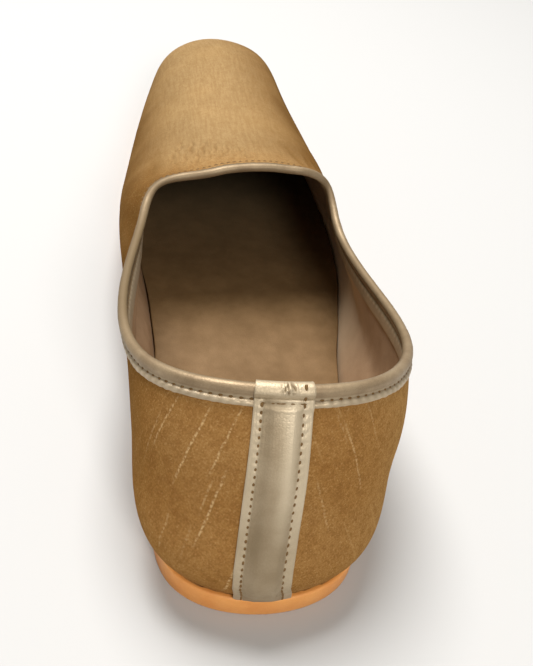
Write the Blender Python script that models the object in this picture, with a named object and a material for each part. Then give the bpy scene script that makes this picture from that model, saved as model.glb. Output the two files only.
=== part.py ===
"""A right mojari shoe: silk upper, bronze leather binding and heel strip, flat leather sole.

Metres, +Z up, +Y towards the toe, +X towards the outer side of a right foot. The origin is on
the floor under the middle of the heel.
"""
import bpy
import numpy as np

# The last that the shoe is drawn over. Heights are above the sole's top face.
SHOE_LENGTH = 0.296
HEEL_WIDTH = 0.064
BALL_WIDTH = 0.080
COLLAR_WIDTH = 0.082
BACK_HEIGHT = 0.0633
INSTEP_HEIGHT = 0.0583
BULGE_HEIGHT = 0.0103
FULLNESS = 0.010

# Sole and insole.
SOLE_THICKNESS = 0.0072
SOLE_EDGE = 0.0013
SOLE_BEVEL = 0.0006
ARCH_RISE = 0.0020
TOE_SPRING = 0.0090
INSOLE_THICKNESS = 0.0026
INSOLE_SLACK = 0.0010

# Upper, binding and strip. Curved pieces lie GAP apart.
GAP = 0.0003
UPPER_WALL = 0.0014
LEATHER = 0.0006
FLANGE = 0.0044
INNER_BAND = 0.0078
BEAD_SWELL = 0.0002
BEAD_SINK = 0.0004
BEAD_RADIUS = UPPER_WALL / 2.0 + GAP + LEATHER + BEAD_SWELL
STRIP_WIDTH = 0.0153
STRIP_TURN_IN = 0.0066
STRIP_RAMP = 0.0016

# Places along the shoe, as shares of its length from the heel.
ORIGIN_SHARE = 0.14
ARCH_SHARES = (0.27, 0.56)
SPRING_SHARE = 0.72
WIDENING_SHARES = (0.25, 0.60)
RISING_SHARES = (0.15, 0.45)

# How finely the pieces are cut.
STEPS_PER_FOLD = 5
WALL_STEPS = 11
WALL_CROWDING = 1.35
BEAD_STEPS = 5
STRIP_COLUMNS = 4
SOLE_RUNGS = 72
SOLE_COLUMNS = 3
NUDGE = 0.0001

# Folds of the upper, each drawn from the sole's edge up to the top edge, in order round the shoe.
#   foot_x      share of the sole's width there, + to the outer side
#   foot_y      share of the shoe's length
#   lean        how far the wall leans out just above the sole, share of FULLNESS
#   low, high   swell of the wall off the straight line above that, share of FULLNESS
#   top_x       share of the collar's width
#   top_y       share of the shoe's length
#   top_z       share of the height there, which runs from the back's to the instep's
FOLDS = [
    # name             foot_x  foot_y   lean    low   high   top_x   top_y  top_z
    ("heel_back",        0.000, 0.000,  0.45,  0.22,  0.27, -0.014, 0.0530, 1.000),
    ("heel_outer",       0.380, 0.032,  0.36,  0.14,  0.28,  0.262, 0.0725, 0.965),
    ("seat_outer",       0.510, 0.133,  0.26,  0.28,  0.29,  0.460, 0.1470, 0.821),
    ("quarter_outer",    0.540, 0.262,  0.31,  0.25,  0.13,  0.477, 0.2530, 0.707),
    ("waist_outer",      0.562, 0.399,  0.20,  0.18,  0.01,  0.383, 0.3925, 0.693),
    ("corner_outer",     0.560, 0.520,  0.02,  0.02, -0.06,  0.350, 0.4410, 0.815),
    ("ball_outer",       0.513, 0.642,  0.01,  0.15,  0.24,  0.258, 0.4380, 0.923),
    ("fore_outer",       0.435, 0.777,  0.03,  0.28,  0.54,  0.156, 0.4340, 0.949),
    ("toe_outer",        0.310, 0.907,  0.11,  0.58,  0.52,  0.082, 0.4315, 0.959),
    ("tip_outer",        0.155, 0.984,  0.23,  0.92,  0.36,  0.026, 0.4295, 0.961),
    ("tip",             -0.040, 1.000,  0.23,  0.86,  0.28, -0.016, 0.4280, 0.959),
    ("tip_inner",       -0.235, 0.973,  0.13,  0.76,  0.30, -0.056, 0.4265, 0.954),
    ("toe_inner",       -0.385, 0.880,  0.02,  0.67,  0.44, -0.110, 0.4245, 0.943),
    ("ball_inner",      -0.475, 0.706,  0.05,  0.52,  0.60, -0.216, 0.4185, 0.907),
    ("corner_inner",    -0.480, 0.560,  0.23,  0.49,  0.52, -0.374, 0.4100, 0.861),
    ("waist_inner",     -0.465, 0.410,  0.36,  0.46,  0.15, -0.444, 0.3515, 0.786),
    ("quarter_inner",   -0.460, 0.268,  0.38,  0.25, -0.06, -0.498, 0.2485, 0.766),
    ("seat_inner",      -0.465, 0.137,  0.42,  0.14,  0.11, -0.464, 0.1320, 0.844),
    ("heel_inner",      -0.370, 0.030,  0.55,  0.20,  0.29, -0.280, 0.0690, 0.964),
]
SHARES = np.array([fold[1:] for fold in FOLDS])
LEVELS = np.array([0.0, 0.13, 0.36, 0.70, 1.0])
WALL_LEVELS = np.linspace(0.0, 1.0, WALL_STEPS + 1) ** WALL_CROWDING
TIP = [fold[0] for fold in FOLDS].index("tip")


def ease(start, end, share):
    """Smooth step from 0 at start to 1 at end."""
    t = np.clip((share - start) / (end - start), 0.0, 1.0)
    return t * t * (3.0 - 2.0 * t)


def sole_width(share):
    return HEEL_WIDTH + (BALL_WIDTH - HEEL_WIDTH) * ease(*WIDENING_SHARES, share)


def top_height(share):
    return BACK_HEIGHT + (INSTEP_HEIGHT - BACK_HEIGHT) * ease(*RISING_SHARES, share)


def sole_rise(y):
    """Height of the sole's underside: flat at heel and ball, raised at the arch and the toe."""
    share = y / SHOE_LENGTH + ORIGIN_SHARE
    arch = np.clip((share - ARCH_SHARES[0]) / (ARCH_SHARES[1] - ARCH_SHARES[0]), 0.0, 1.0)
    toe = np.clip((share - SPRING_SHARE) / (1.0 - SPRING_SHARE), 0.0, None)
    return ARCH_RISE * np.sin(np.pi * arch) ** 2 + TOE_SPRING * toe ** 2


def spline(places, values, wanted):
    """Cubic spline through values (rows, columns, 3), read at wanted (rows, columns)."""
    step = np.diff(places)
    slope = np.diff(values, axis=0) / step[:, None, None]
    system = np.eye(len(places))
    pull = np.zeros_like(values)
    for i in range(1, len(places) - 1):
        system[i, i - 1:i + 2] = step[i - 1], 2.0 * (step[i - 1] + step[i]), step[i]
        pull[i] = 6.0 * (slope[i] - slope[i - 1])
    bend = np.linalg.solve(system, pull.reshape(len(places), -1)).reshape(values.shape)
    k = np.clip(np.searchsorted(places, wanted, side="right") - 1, 0, len(step) - 1)
    column = np.arange(values.shape[1])
    h = step[k][..., None]
    b = (wanted - places[k])[..., None] / h
    a = 1.0 - b
    line = a * values[k, column] + b * values[k + 1, column]
    swell = (a ** 3 - a) * bend[k, column] + (b ** 3 - b) * bend[k + 1, column]
    return line + h * h / 6.0 * swell


def outward(ring):
    """Level unit vectors that point out of a closed ring of points."""
    along = np.roll(ring, -1, axis=0) - np.roll(ring, 1, axis=0)
    side = np.stack([along[:, 1], -along[:, 0], np.zeros(len(ring))], axis=1)
    return side / np.linalg.norm(side, axis=1)[:, None]


def fold_net():
    """Five rings of points that the upper's surface passes through, from foot to top."""
    foot_x, foot_y, lean, low, high, top_x, top_y, top_z = SHARES.T
    y = (foot_y - ORIGIN_SHARE) * SHOE_LENGTH
    foot = np.stack([foot_x * sole_width(foot_y), y, SOLE_THICKNESS + GAP + sole_rise(y)], axis=1)
    out = outward(foot)
    above = foot + out * (lean * FULLNESS)[:, None] + [0.0, 0.0, BULGE_HEIGHT]
    top = np.stack([
        top_x * COLLAR_WIDTH,
        (top_y - ORIGIN_SHARE) * SHOE_LENGTH,
        SOLE_THICKNESS + top_z * top_height(top_y),
    ], axis=1)
    chord = top - above
    along = np.stack([-out[:, 1], out[:, 0], np.zeros(len(out))], axis=1)
    swell = np.cross(along, chord)
    swell /= np.linalg.norm(swell, axis=1)[:, None]
    share = (LEVELS[2:4] - LEVELS[1]) / (1.0 - LEVELS[1])
    lower = above + chord * share[0] + swell * (low * FULLNESS)[:, None]
    upper = above + chord * share[1] + swell * (high * FULLNESS)[:, None]
    return np.stack([foot, above, lower, upper, top])


NET = fold_net()
SPACING = np.linalg.norm(np.roll(NET, -1, axis=1) - NET, axis=2)[[0, -1]].mean(axis=0)
PLACES = np.concatenate([[0.0], np.cumsum(SPACING)])
AROUND = PLACES[-1]


def surface(u, v):
    """Outside of the upper at u metres round it and share v of the way up."""
    rings = np.concatenate([NET, NET, NET], axis=1).transpose(1, 0, 2)
    places = np.concatenate([PLACES[:-1] - AROUND, PLACES[:-1], PLACES[:-1] + AROUND])
    wanted = np.repeat(np.mod(u, AROUND)[:, None], len(LEVELS), axis=1)
    columns = spline(places, rings, wanted).transpose(1, 0, 2)
    return spline(LEVELS, columns, v)


def shell(u, v, out):
    """Points a distance out from the upper's outside, square to it. Rows are v, columns u."""
    v = v + np.zeros((1, len(u)))
    across = surface(u + NUDGE, v) - surface(u - NUDGE, v)
    up = surface(u, v + NUDGE) - surface(u, v - NUDGE)
    normal = np.cross(across, up)
    normal /= np.linalg.norm(normal, axis=2)[..., None]
    return surface(u, v) + normal * np.reshape(out, (-1, 1, 1))


def from_top(u, path):
    """Points at each (out, down) of a path, down measured along the upper from its top edge."""
    top = np.ones((1, len(u)))
    reach = np.linalg.norm(surface(u, top) - surface(u, top - NUDGE), axis=2)
    path = np.array(path)
    return shell(u, 1.0 - path[:, 1:] * NUDGE / reach, path[:, 0])


def round_the_edge(offset, radius, outer_drop, inner_drop):
    """Path of (out, down) that wraps the top edge: down the outside, over a bead, down inside."""
    middle = -UPPER_WALL / 2.0
    turn = np.arccos((UPPER_WALL / 2.0 + offset) / radius)
    angles = np.linspace(-turn, np.pi + turn, BEAD_STEPS + 1)
    bead = [(middle + radius * np.cos(a), BEAD_SINK - radius * np.sin(a)) for a in angles]
    outer = [(offset, outer_drop), (offset, (outer_drop + bead[0][1]) / 2.0)]
    inside = -UPPER_WALL - offset
    inner = [(inside, (inner_drop + bead[-1][1]) / 2.0), (inside, inner_drop)]
    return outer + bead + inner


def strip_places(level):
    """Places round the upper, at one height, of the strip's edges and the lines between."""
    middle = np.zeros(1)
    v = np.full((1, 1), level)
    ahead = surface(middle + NUDGE, v) - surface(middle - NUDGE, v)
    half = STRIP_WIDTH / 2.0 * 2.0 * NUDGE / np.linalg.norm(ahead)
    return np.linspace(-half, half, STRIP_COLUMNS + 1)


def around_samples():
    """Places round the upper: even steps in each fold, and the strip's own places at the top."""
    strip = strip_places(1.0)
    stops = np.concatenate([strip[-1:], PLACES[1:-1], strip[:1] + AROUND])
    steps = [np.linspace(a, b, STEPS_PER_FOLD, endpoint=False) for a, b in zip(stops, stops[1:])]
    return np.concatenate([*steps, strip[:-1] + AROUND])


def sheet(name, front, back, closed, material):
    """A solid between two grids of points, whose columns may close into a ring."""
    rows, columns = front.shape[:2]
    points = np.concatenate([front.reshape(-1, 3), back.reshape(-1, 3)])
    ids = np.arange(2 * rows * columns).reshape(2, rows, columns)
    if closed:
        ids = np.concatenate([ids, ids[:, :, :1]], axis=2)
    f, b = ids
    last = f.shape[1] - 1
    faces = []
    for r in range(rows - 1):
        for c in range(last):
            faces.append((f[r, c], f[r, c + 1], f[r + 1, c + 1], f[r + 1, c]))
            faces.append((b[r, c], b[r + 1, c], b[r + 1, c + 1], b[r, c + 1]))
    for c in range(last):
        faces.append((f[0, c + 1], f[0, c], b[0, c], b[0, c + 1]))
        faces.append((f[-1, c], f[-1, c + 1], b[-1, c + 1], b[-1, c]))
    if not closed:
        for r in range(rows - 1):
            faces.append((f[r, 0], f[r + 1, 0], b[r + 1, 0], b[r, 0]))
            faces.append((f[r + 1, last], f[r, last], b[r, last], b[r + 1, last]))
    mesh = bpy.data.meshes.new(name)
    mesh.from_pydata(points.tolist(), [], [tuple(int(i) for i in face) for face in faces])
    mesh.materials.append(material)
    mesh.shade_smooth()
    mesh.set_sharp_from_angle(angle=np.radians(40.0))
    thing = bpy.data.objects.new(name, mesh)
    bpy.context.scene.collection.objects.link(thing)
    return thing


def finish(name, color, roughness, metallic):
    material = bpy.data.materials.new(name)
    material.use_nodes = True
    shader = material.node_tree.nodes["Principled BSDF"]
    shader.inputs["Base Color"].default_value = (*color, 1.0)
    shader.inputs["Roughness"].default_value = roughness
    shader.inputs["Metallic"].default_value = metallic
    return material


def foot_ring(out):
    """Outer and inner halves of the sole's edge line, heel to tip, moved out in plan."""
    halves = []
    for start, end in ((0.0, PLACES[TIP]), (AROUND, PLACES[TIP])):
        share = (np.arange(SOLE_RUNGS) + 0.5) / SOLE_RUNGS
        u = start + (end - start) * share
        level = np.zeros((1, len(u)))
        ring = surface(u, level)[0]
        along = surface(u + NUDGE, level)[0] - surface(u - NUDGE, level)[0]
        side = np.stack([along[:, 1], -along[:, 0]], axis=1)
        side /= np.linalg.norm(side, axis=1)[:, None]
        halves.append(ring[:, :2] + side * out)
    return halves


def slab(name, out, bottom, thickness, material):
    """A plate that follows the sole's rise, with its edge moved out from the sole's edge line."""
    outer, inner = foot_ring(out)
    share = np.linspace(0.0, 1.0, SOLE_COLUMNS + 1)[None, :, None]
    plan = inner[:, None] * (1.0 - share) + outer[:, None] * share
    floor = sole_rise(plan[..., 1]) + bottom
    low = np.concatenate([plan, floor[..., None]], axis=2)
    high = low + [0.0, 0.0, thickness]
    return sheet(name, high, low, False, material)


def make_outsole():
    tan_leather = finish("tan_leather", (0.52, 0.24, 0.08), 0.55, 0.0)
    sole = slab("outsole", SOLE_EDGE, 0.0, SOLE_THICKNESS, tan_leather)
    bevel = sole.modifiers.new("edge", "BEVEL")
    bevel.width = SOLE_BEVEL
    bevel.segments = 1
    bevel.limit_method = "ANGLE"
    bevel.angle_limit = np.radians(50.0)


def make_insole():
    lining_leather = finish("lining_leather", (0.33, 0.23, 0.12), 0.6, 0.0)
    inset = -(UPPER_WALL + INSOLE_SLACK)
    slab("insole", inset, SOLE_THICKNESS + GAP, INSOLE_THICKNESS, lining_leather)


def seat(grid):
    """Sets the lowest row of points just above the sole's top face."""
    grid[0, :, 2] = sole_rise(grid[0, :, 1]) + SOLE_THICKNESS + GAP


def make_upper(u):
    silk = finish("silk", (0.48, 0.30, 0.12), 0.45, 0.0)
    outside = shell(u, WALL_LEVELS[:, None], 0.0)
    inside = shell(u, WALL_LEVELS[:, None], -UPPER_WALL)
    seat(outside)
    seat(inside)
    sheet("upper", outside, inside, True, silk)


def make_binding(u):
    bronze = finish("bronze_leather", (0.45, 0.34, 0.22), 0.4, 0.3)
    inner_radius = np.hypot(UPPER_WALL / 2.0 + GAP, BEAD_SINK + GAP)
    front = round_the_edge(GAP + LEATHER, BEAD_RADIUS, FLANGE, INNER_BAND)
    back = round_the_edge(GAP, inner_radius, FLANGE, INNER_BAND)
    sheet("topline_binding", from_top(u, front), from_top(u, back), True, bronze)


def strip_face(out, edge_path):
    """One face of the strip: up the silk at a distance out, then round the top edge."""
    ramp_foot = FLANGE + GAP + STRIP_RAMP
    ends = surface(np.zeros(1), np.array([[0.0], [1.0]]))
    height = np.linalg.norm(ends[1] - ends[0])
    levels = WALL_LEVELS[WALL_LEVELS < 1.0 - (ramp_foot + STRIP_RAMP) / height]
    rows = [shell(strip_places(level), np.full((1, 1), level), out) for level in levels]
    face = np.concatenate([*rows, from_top(strip_places(1.0), [(out, ramp_foot)] + edge_path)])
    seat(face)
    return face


def make_strip():
    bronze = finish("strip_leather", (0.42, 0.31, 0.20), 0.38, 0.3)
    over = LEATHER + 2.0 * GAP
    around_bead = BEAD_RADIUS + GAP
    drop = FLANGE + GAP
    back = strip_face(GAP, round_the_edge(over, around_bead, drop, STRIP_TURN_IN))
    thick_path = round_the_edge(over + LEATHER, around_bead + LEATHER, drop, STRIP_TURN_IN)
    front = strip_face(GAP + LEATHER, thick_path)
    sheet("heel_strip", front, back, False, bronze)


def main():
    for thing in list(bpy.data.objects):
        bpy.data.objects.remove(thing)
    around = around_samples()
    make_outsole()
    make_insole()
    make_upper(around)
    make_binding(around)
    make_strip()


main()
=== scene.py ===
# %% [markdown]
# # A mojari shoe in golden silk
# A mojari is a flat slip-on shoe. Its upper is silk backed with lining leather, its open top edge
# is bound with pale bronze leather, a strip of the same leather covers the seam down the heel, and
# the whole upper is sewn to a thin flat leather sole. The right shoe is built here, empty and
# unworn, standing on its sole. Each piece is made at its real size, in metres, over the solids
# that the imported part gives.

import math

import bmesh
import bpy
import numpy as np
from mathutils import Matrix, Vector


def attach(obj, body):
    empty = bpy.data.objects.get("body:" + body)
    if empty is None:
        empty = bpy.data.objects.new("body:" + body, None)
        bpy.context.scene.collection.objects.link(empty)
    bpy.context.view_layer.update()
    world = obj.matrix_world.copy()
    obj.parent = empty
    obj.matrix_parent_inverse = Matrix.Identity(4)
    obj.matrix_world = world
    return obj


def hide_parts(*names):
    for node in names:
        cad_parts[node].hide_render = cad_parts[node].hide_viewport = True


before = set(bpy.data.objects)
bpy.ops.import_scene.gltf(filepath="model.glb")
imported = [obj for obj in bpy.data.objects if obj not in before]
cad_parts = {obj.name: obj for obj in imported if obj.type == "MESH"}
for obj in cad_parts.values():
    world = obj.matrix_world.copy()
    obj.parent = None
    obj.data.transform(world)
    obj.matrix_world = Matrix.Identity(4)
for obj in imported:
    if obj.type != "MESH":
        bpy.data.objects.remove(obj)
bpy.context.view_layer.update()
print("solids in the frame:", ", ".join(sorted(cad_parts)))

# %% [markdown]
# ## The last
# A shoemaker pulls the upper over a last, so every piece of the upper follows one and the same
# surface. The solids draw that surface through folds that run from the sole's edge up to the top
# edge. The same named sizes and the same short table are used here, so the fine pieces lie where
# the solids do, only with far more points. One fold, ball_inner, ends a third of a millimetre
# further and higher here, so that the bead runs smoothly past it.

# %% Sizes of the last, the sole and the trim
# Sizes are in metres. Shares are of the shoe's length, counted from the back of the heel.
SHOE_LENGTH = 0.296
HEEL_WIDTH = 0.064
BALL_WIDTH = 0.080
COLLAR_WIDTH = 0.082
BACK_HEIGHT = 0.0633
INSTEP_HEIGHT = 0.0583
BULGE_HEIGHT = 0.0103
FULLNESS = 0.010
SOLE_THICKNESS = 0.0072
SOLE_EDGE = 0.0013
ARCH_RISE = 0.0020
TOE_SPRING = 0.0090
INSOLE_THICKNESS = 0.0026
FOOTBED_INSET = 0.0021
GAP = 0.0003
UPPER_WALL = 0.0014
ORIGIN_SHARE = 0.14
ARCH_SHARES = (0.27, 0.56)
SPRING_SHARE = 0.72
WIDENING_SHARES = (0.25, 0.60)
RISING_SHARES = (0.15, 0.45)
print("the last is", round(1000 * SHOE_LENGTH), "mm long")

# %% The folds of the upper, from the sole's edge to the top edge
# The foot's place is in shares of the sole's width there and of the shoe's length. Lean, low and
# high say how far the wall swells out at three heights, in shares of the fullness. The top's place
# is in shares of the collar's width, of the shoe's length and of the top edge's height.
FOLDS = [
    # name             foot_x  foot_y   lean    low   high   top_x   top_y  top_z
    ("heel_back",        0.000, 0.000,  0.45,  0.22,  0.27, -0.014, 0.0530, 1.000),
    ("heel_outer",       0.380, 0.032,  0.36,  0.14,  0.28,  0.262, 0.0725, 0.965),
    ("seat_outer",       0.510, 0.133,  0.26,  0.28,  0.29,  0.460, 0.1470, 0.821),
    ("quarter_outer",    0.540, 0.262,  0.31,  0.25,  0.13,  0.477, 0.2530, 0.707),
    ("waist_outer",      0.562, 0.399,  0.20,  0.18,  0.01,  0.383, 0.3925, 0.693),
    ("corner_outer",     0.560, 0.520,  0.02,  0.02, -0.06,  0.350, 0.4410, 0.815),
    ("ball_outer",       0.513, 0.642,  0.01,  0.15,  0.24,  0.258, 0.4380, 0.923),
    ("fore_outer",       0.435, 0.777,  0.03,  0.28,  0.54,  0.156, 0.4340, 0.949),
    ("toe_outer",        0.310, 0.907,  0.11,  0.58,  0.52,  0.082, 0.4315, 0.959),
    ("tip_outer",        0.155, 0.984,  0.23,  0.92,  0.36,  0.026, 0.4295, 0.961),
    ("tip",             -0.040, 1.000,  0.23,  0.86,  0.28, -0.016, 0.4280, 0.959),
    ("tip_inner",       -0.235, 0.973,  0.13,  0.76,  0.30, -0.056, 0.4265, 0.954),
    ("toe_inner",       -0.385, 0.880,  0.02,  0.67,  0.44, -0.110, 0.4245, 0.943),
    ("ball_inner",      -0.475, 0.706,  0.05,  0.52,  0.60, -0.216, 0.4195, 0.912),
    ("corner_inner",    -0.480, 0.560,  0.23,  0.49,  0.52, -0.374, 0.4100, 0.861),
    ("waist_inner",     -0.465, 0.410,  0.36,  0.46,  0.15, -0.444, 0.3515, 0.786),
    ("quarter_inner",   -0.460, 0.268,  0.38,  0.25, -0.06, -0.498, 0.2485, 0.766),
    ("seat_inner",      -0.465, 0.137,  0.42,  0.14,  0.11, -0.464, 0.1320, 0.844),
    ("heel_inner",      -0.370, 0.030,  0.55,  0.20,  0.29, -0.280, 0.0690, 0.964),
]
SHARES = np.array([fold[1:] for fold in FOLDS])
NAMES = [fold[0] for fold in FOLDS]
# how far up the wall the five rings of the net lie, and a small step to measure slopes with
LEVELS = np.array([0.0, 0.13, 0.36, 0.70, 1.0])
NUDGE = 0.0001
print(len(FOLDS), "folds shape the upper")


# %% Plain functions of the last
def ease(start, end, share):
    """Smooth step from 0 at start to 1 at end."""
    t = np.clip((share - start) / (end - start), 0.0, 1.0)
    return t * t * (3.0 - 2.0 * t)


def sole_width(share):
    return HEEL_WIDTH + (BALL_WIDTH - HEEL_WIDTH) * ease(*WIDENING_SHARES, share)


def top_height(share):
    return BACK_HEIGHT + (INSTEP_HEIGHT - BACK_HEIGHT) * ease(*RISING_SHARES, share)


def sole_rise(y):
    """Height of the sole's underside: flat at heel and ball, raised at the arch and the toe."""
    share = y / SHOE_LENGTH + ORIGIN_SHARE
    arch = np.clip((share - ARCH_SHARES[0]) / (ARCH_SHARES[1] - ARCH_SHARES[0]), 0.0, 1.0)
    toe = np.clip((share - SPRING_SHARE) / (1.0 - SPRING_SHARE), 0.0, None)
    return ARCH_RISE * np.sin(np.pi * arch) ** 2 + TOE_SPRING * toe ** 2


def spline(places, values, wanted):
    """Cubic spline through values (rows, columns, 3), read at wanted (rows, columns)."""
    step = np.diff(places)
    slope = np.diff(values, axis=0) / step[:, None, None]
    system = np.eye(len(places))
    pull = np.zeros_like(values)
    for i in range(1, len(places) - 1):
        system[i, i - 1:i + 2] = step[i - 1], 2.0 * (step[i - 1] + step[i]), step[i]
        pull[i] = 6.0 * (slope[i] - slope[i - 1])
    bend = np.linalg.solve(system, pull.reshape(len(places), -1)).reshape(values.shape)
    k = np.clip(np.searchsorted(places, wanted, side="right") - 1, 0, len(step) - 1)
    column = np.arange(values.shape[1])
    h = step[k][..., None]
    b = (wanted - places[k])[..., None] / h
    a = 1.0 - b
    line = a * values[k, column] + b * values[k + 1, column]
    swell = (a ** 3 - a) * bend[k, column] + (b ** 3 - b) * bend[k + 1, column]
    return line + h * h / 6.0 * swell


def outward(ring):
    """Level unit vectors that point out of a closed ring of points."""
    along = np.roll(ring, -1, axis=0) - np.roll(ring, 1, axis=0)
    side = np.stack([along[:, 1], -along[:, 0], np.zeros(len(ring))], axis=1)
    return side / np.linalg.norm(side, axis=1)[:, None]


def fold_net():
    """Five rings of points that the upper's surface passes through, from foot to top."""
    foot_x, foot_y, lean, low, high, top_x, top_y, top_z = SHARES.T
    y = (foot_y - ORIGIN_SHARE) * SHOE_LENGTH
    foot = np.stack([foot_x * sole_width(foot_y), y, SOLE_THICKNESS + GAP + sole_rise(y)], axis=1)
    out = outward(foot)
    above = foot + out * (lean * FULLNESS)[:, None] + [0.0, 0.0, BULGE_HEIGHT]
    top = np.stack([
        top_x * COLLAR_WIDTH,
        (top_y - ORIGIN_SHARE) * SHOE_LENGTH,
        SOLE_THICKNESS + top_z * top_height(top_y),
    ], axis=1)
    chord = top - above
    along = np.stack([-out[:, 1], out[:, 0], np.zeros(len(out))], axis=1)
    swell = np.cross(along, chord)
    swell /= np.linalg.norm(swell, axis=1)[:, None]
    share = (LEVELS[2:4] - LEVELS[1]) / (1.0 - LEVELS[1])
    lower = above + chord * share[0] + swell * (low * FULLNESS)[:, None]
    upper = above + chord * share[1] + swell * (high * FULLNESS)[:, None]
    return np.stack([foot, above, lower, upper, top])


NET = fold_net()
SPACING = np.linalg.norm(np.roll(NET, -1, axis=1) - NET, axis=2)[[0, -1]].mean(axis=0)
PLACES = np.concatenate([[0.0], np.cumsum(SPACING)])
AROUND = PLACES[-1]
print("round the upper:", round(1000 * AROUND), "mm")


# %% The upper's surface, and places measured on it
def surface(u, v):
    """Outside of the upper at u metres round it from the heel and share v of the way up."""
    rings = np.concatenate([NET, NET, NET], axis=1).transpose(1, 0, 2)
    places = np.concatenate([PLACES[:-1] - AROUND, PLACES[:-1], PLACES[:-1] + AROUND])
    wanted = np.repeat(np.mod(u, AROUND)[:, None], len(LEVELS), axis=1)
    columns = spline(places, rings, wanted).transpose(1, 0, 2)
    return spline(LEVELS, columns, v)


def facing(u, v):
    """Unit vectors square to the upper's outside. Rows are v, columns u."""
    across = surface(u + NUDGE, v) - surface(u - NUDGE, v)
    up = surface(u, v + NUDGE) - surface(u, v - NUDGE)
    normal = np.cross(across, up)
    return normal / np.linalg.norm(normal, axis=2)[..., None]


def shell(u, v, out):
    """Points a distance out from the upper's outside, square to it."""
    v = v + np.zeros((1, len(u)))
    out = np.asarray(out, float)
    if out.ndim < 2:
        out = out.reshape(-1, 1)
    return surface(u, v) + facing(u, v) * out[..., None]


def from_top(u, out, down):
    """Points at distances out and down, given by row or by row and column, from the top edge."""
    top = np.ones((1, len(u)))
    reach = np.linalg.norm(surface(u, top) - surface(u, top - NUDGE), axis=2)
    down = np.asarray(down, float)
    if down.ndim < 2:
        down = down.reshape(-1, 1)
    return shell(u, 1.0 - down * NUDGE / reach, out)


def seat(grid):
    """Sets the lowest row of points just above the sole's top face."""
    grid[0, :, 2] = sole_rise(grid[0, :, 1]) + SOLE_THICKNESS + GAP
    return grid


def foot_line(u, out):
    """Points in plan on the sole's edge line, moved out."""
    level = np.zeros((1, len(u)))
    along = surface(u + NUDGE, level)[0] - surface(u - NUDGE, level)[0]
    side = np.stack([along[:, 1], -along[:, 0]], axis=1)
    side /= np.linalg.norm(side, axis=1)[:, None]
    return surface(u, level)[0, :, :2] + side * out


print("top edge at the heel:", round(1000 * surface(np.zeros(1), np.ones((1, 1)))[0, 0, 2], 1),
      "mm above the floor")

# %% [markdown]
# ## From grids of points to closed pieces
# Every piece of this shoe is sheet material: silk, thin leather or a thick slab of it. So each one
# is made from two grids of points, one for the face that shows and one for the back, closed round
# the rims. A back that nobody sees gets fewer rows. The silk also carries its own cloth
# coordinates in metres, so that the weave keeps its real scale wherever the surface bends.

# %% A closed piece from a front grid and a back grid
SHEET_CRISP, SLAB_CRISP = 50.0, 60.0  # degrees from which an edge is shaded crisp


def grid_faces(ids, flip):
    """Faces between the points of a grid, given by their numbers."""
    a, b, c, d = ids[:-1, :-1], ids[:-1, 1:], ids[1:, 1:], ids[1:, :-1]
    order = (a, d, c, b) if flip else (a, b, c, d)
    return np.stack([part.ravel() for part in order], axis=1)


def strip_faces(one, two):
    """Faces between two lines of points with the same count."""
    return np.stack([one[:-1], one[1:], two[1:], two[:-1]], axis=1)


def in_scene(name, data):
    """An object for a mesh, a lamp or a camera."""
    made = bpy.data.objects.new(name, data)
    bpy.context.scene.collection.objects.link(made)
    return made


def new_piece(name, mesh, material, crisp):
    """Gives a mesh its finish and smooth shading, and puts it in the scene."""
    mesh.materials.append(material)
    mesh.shade_smooth()
    mesh.set_sharp_from_angle(angle=math.radians(crisp))
    return in_scene(name, mesh)


def closed_piece(name, front, back, material, ring=True, cloth=None):
    """Closes two grids that share their columns. A ring's columns join up, an open sheet's don't."""
    columns = front.shape[1]
    f = np.arange(front.shape[0] * columns).reshape(-1, columns)
    b = np.arange(back.shape[0] * columns).reshape(-1, columns) + f.size
    points = np.concatenate([front.reshape(-1, 3), back.reshape(-1, 3)])
    if ring:
        f = np.concatenate([f, f[:, :1]], axis=1)
        b = np.concatenate([b, b[:, :1]], axis=1)
    faces = [grid_faces(f, False), grid_faces(b, True)]
    faces += [strip_faces(b[0], f[0]), strip_faces(f[-1], b[-1])]
    if not ring:
        faces += [strip_faces(f[:, 0], b[:, 0]), strip_faces(b[:, -1], f[:, -1])]
    mesh = bpy.data.meshes.new(name)
    mesh.from_pydata(points.tolist(), [], np.concatenate(faces).tolist())
    if cloth is not None:
        spread = np.zeros((len(points), 2))
        spread[:front.shape[0] * columns] = cloth.reshape(-1, 2)
        corner = np.zeros(len(mesh.loops), np.int32)
        mesh.loops.foreach_get("vertex_index", corner)
        places = mesh.uv_layers.new(name="Cloth")
        places.uv.foreach_set("vector", spread[corner].astype(np.float32).ravel())
    print(name, "has", len(mesh.polygons), "faces")
    return new_piece(name, mesh, material, SHEET_CRISP)


def points_of(piece):
    """A piece's points as rows of x, y and z."""
    points = np.empty(3 * len(piece.data.vertices))
    piece.data.vertices.foreach_get("co", points)
    return points.reshape(-1, 3)


def note(piece, name, values):
    """Keeps a number for each front point on the piece, which a material can read by name."""
    full = np.zeros(len(piece.data.vertices), np.float32)
    full[:values.size] = values.ravel()
    piece.data.attributes.new(name, "FLOAT", "POINT").data.foreach_set("value", full)


def belongs(piece, node=None):
    """Ties a finished piece to the shoe's one body and hides the solid it stands for."""
    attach(piece, "root")
    if node:
        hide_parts(node)


# %% [markdown]
# ## Building finishes from nodes
# Finishes are node trees. Writing them out in full takes many lines, so a few helpers add a node,
# wire its inputs and do sums. Effects that several finishes share, such as the weave and the
# leather's grain, are node groups: built once, with named inputs, and placed where needed.

# %% Helpers that add and wire nodes
def tint(red, green, blue):
    """A colour given as 0 to 255, as a paint chart has it, in the linear numbers shaders use."""
    share = np.array([red, green, blue]) / 255.0
    linear = np.where(share < 0.04045, share / 12.92, ((share + 0.055) / 1.055) ** 2.4)
    return (*linear.tolist(), 1.0)


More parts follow.
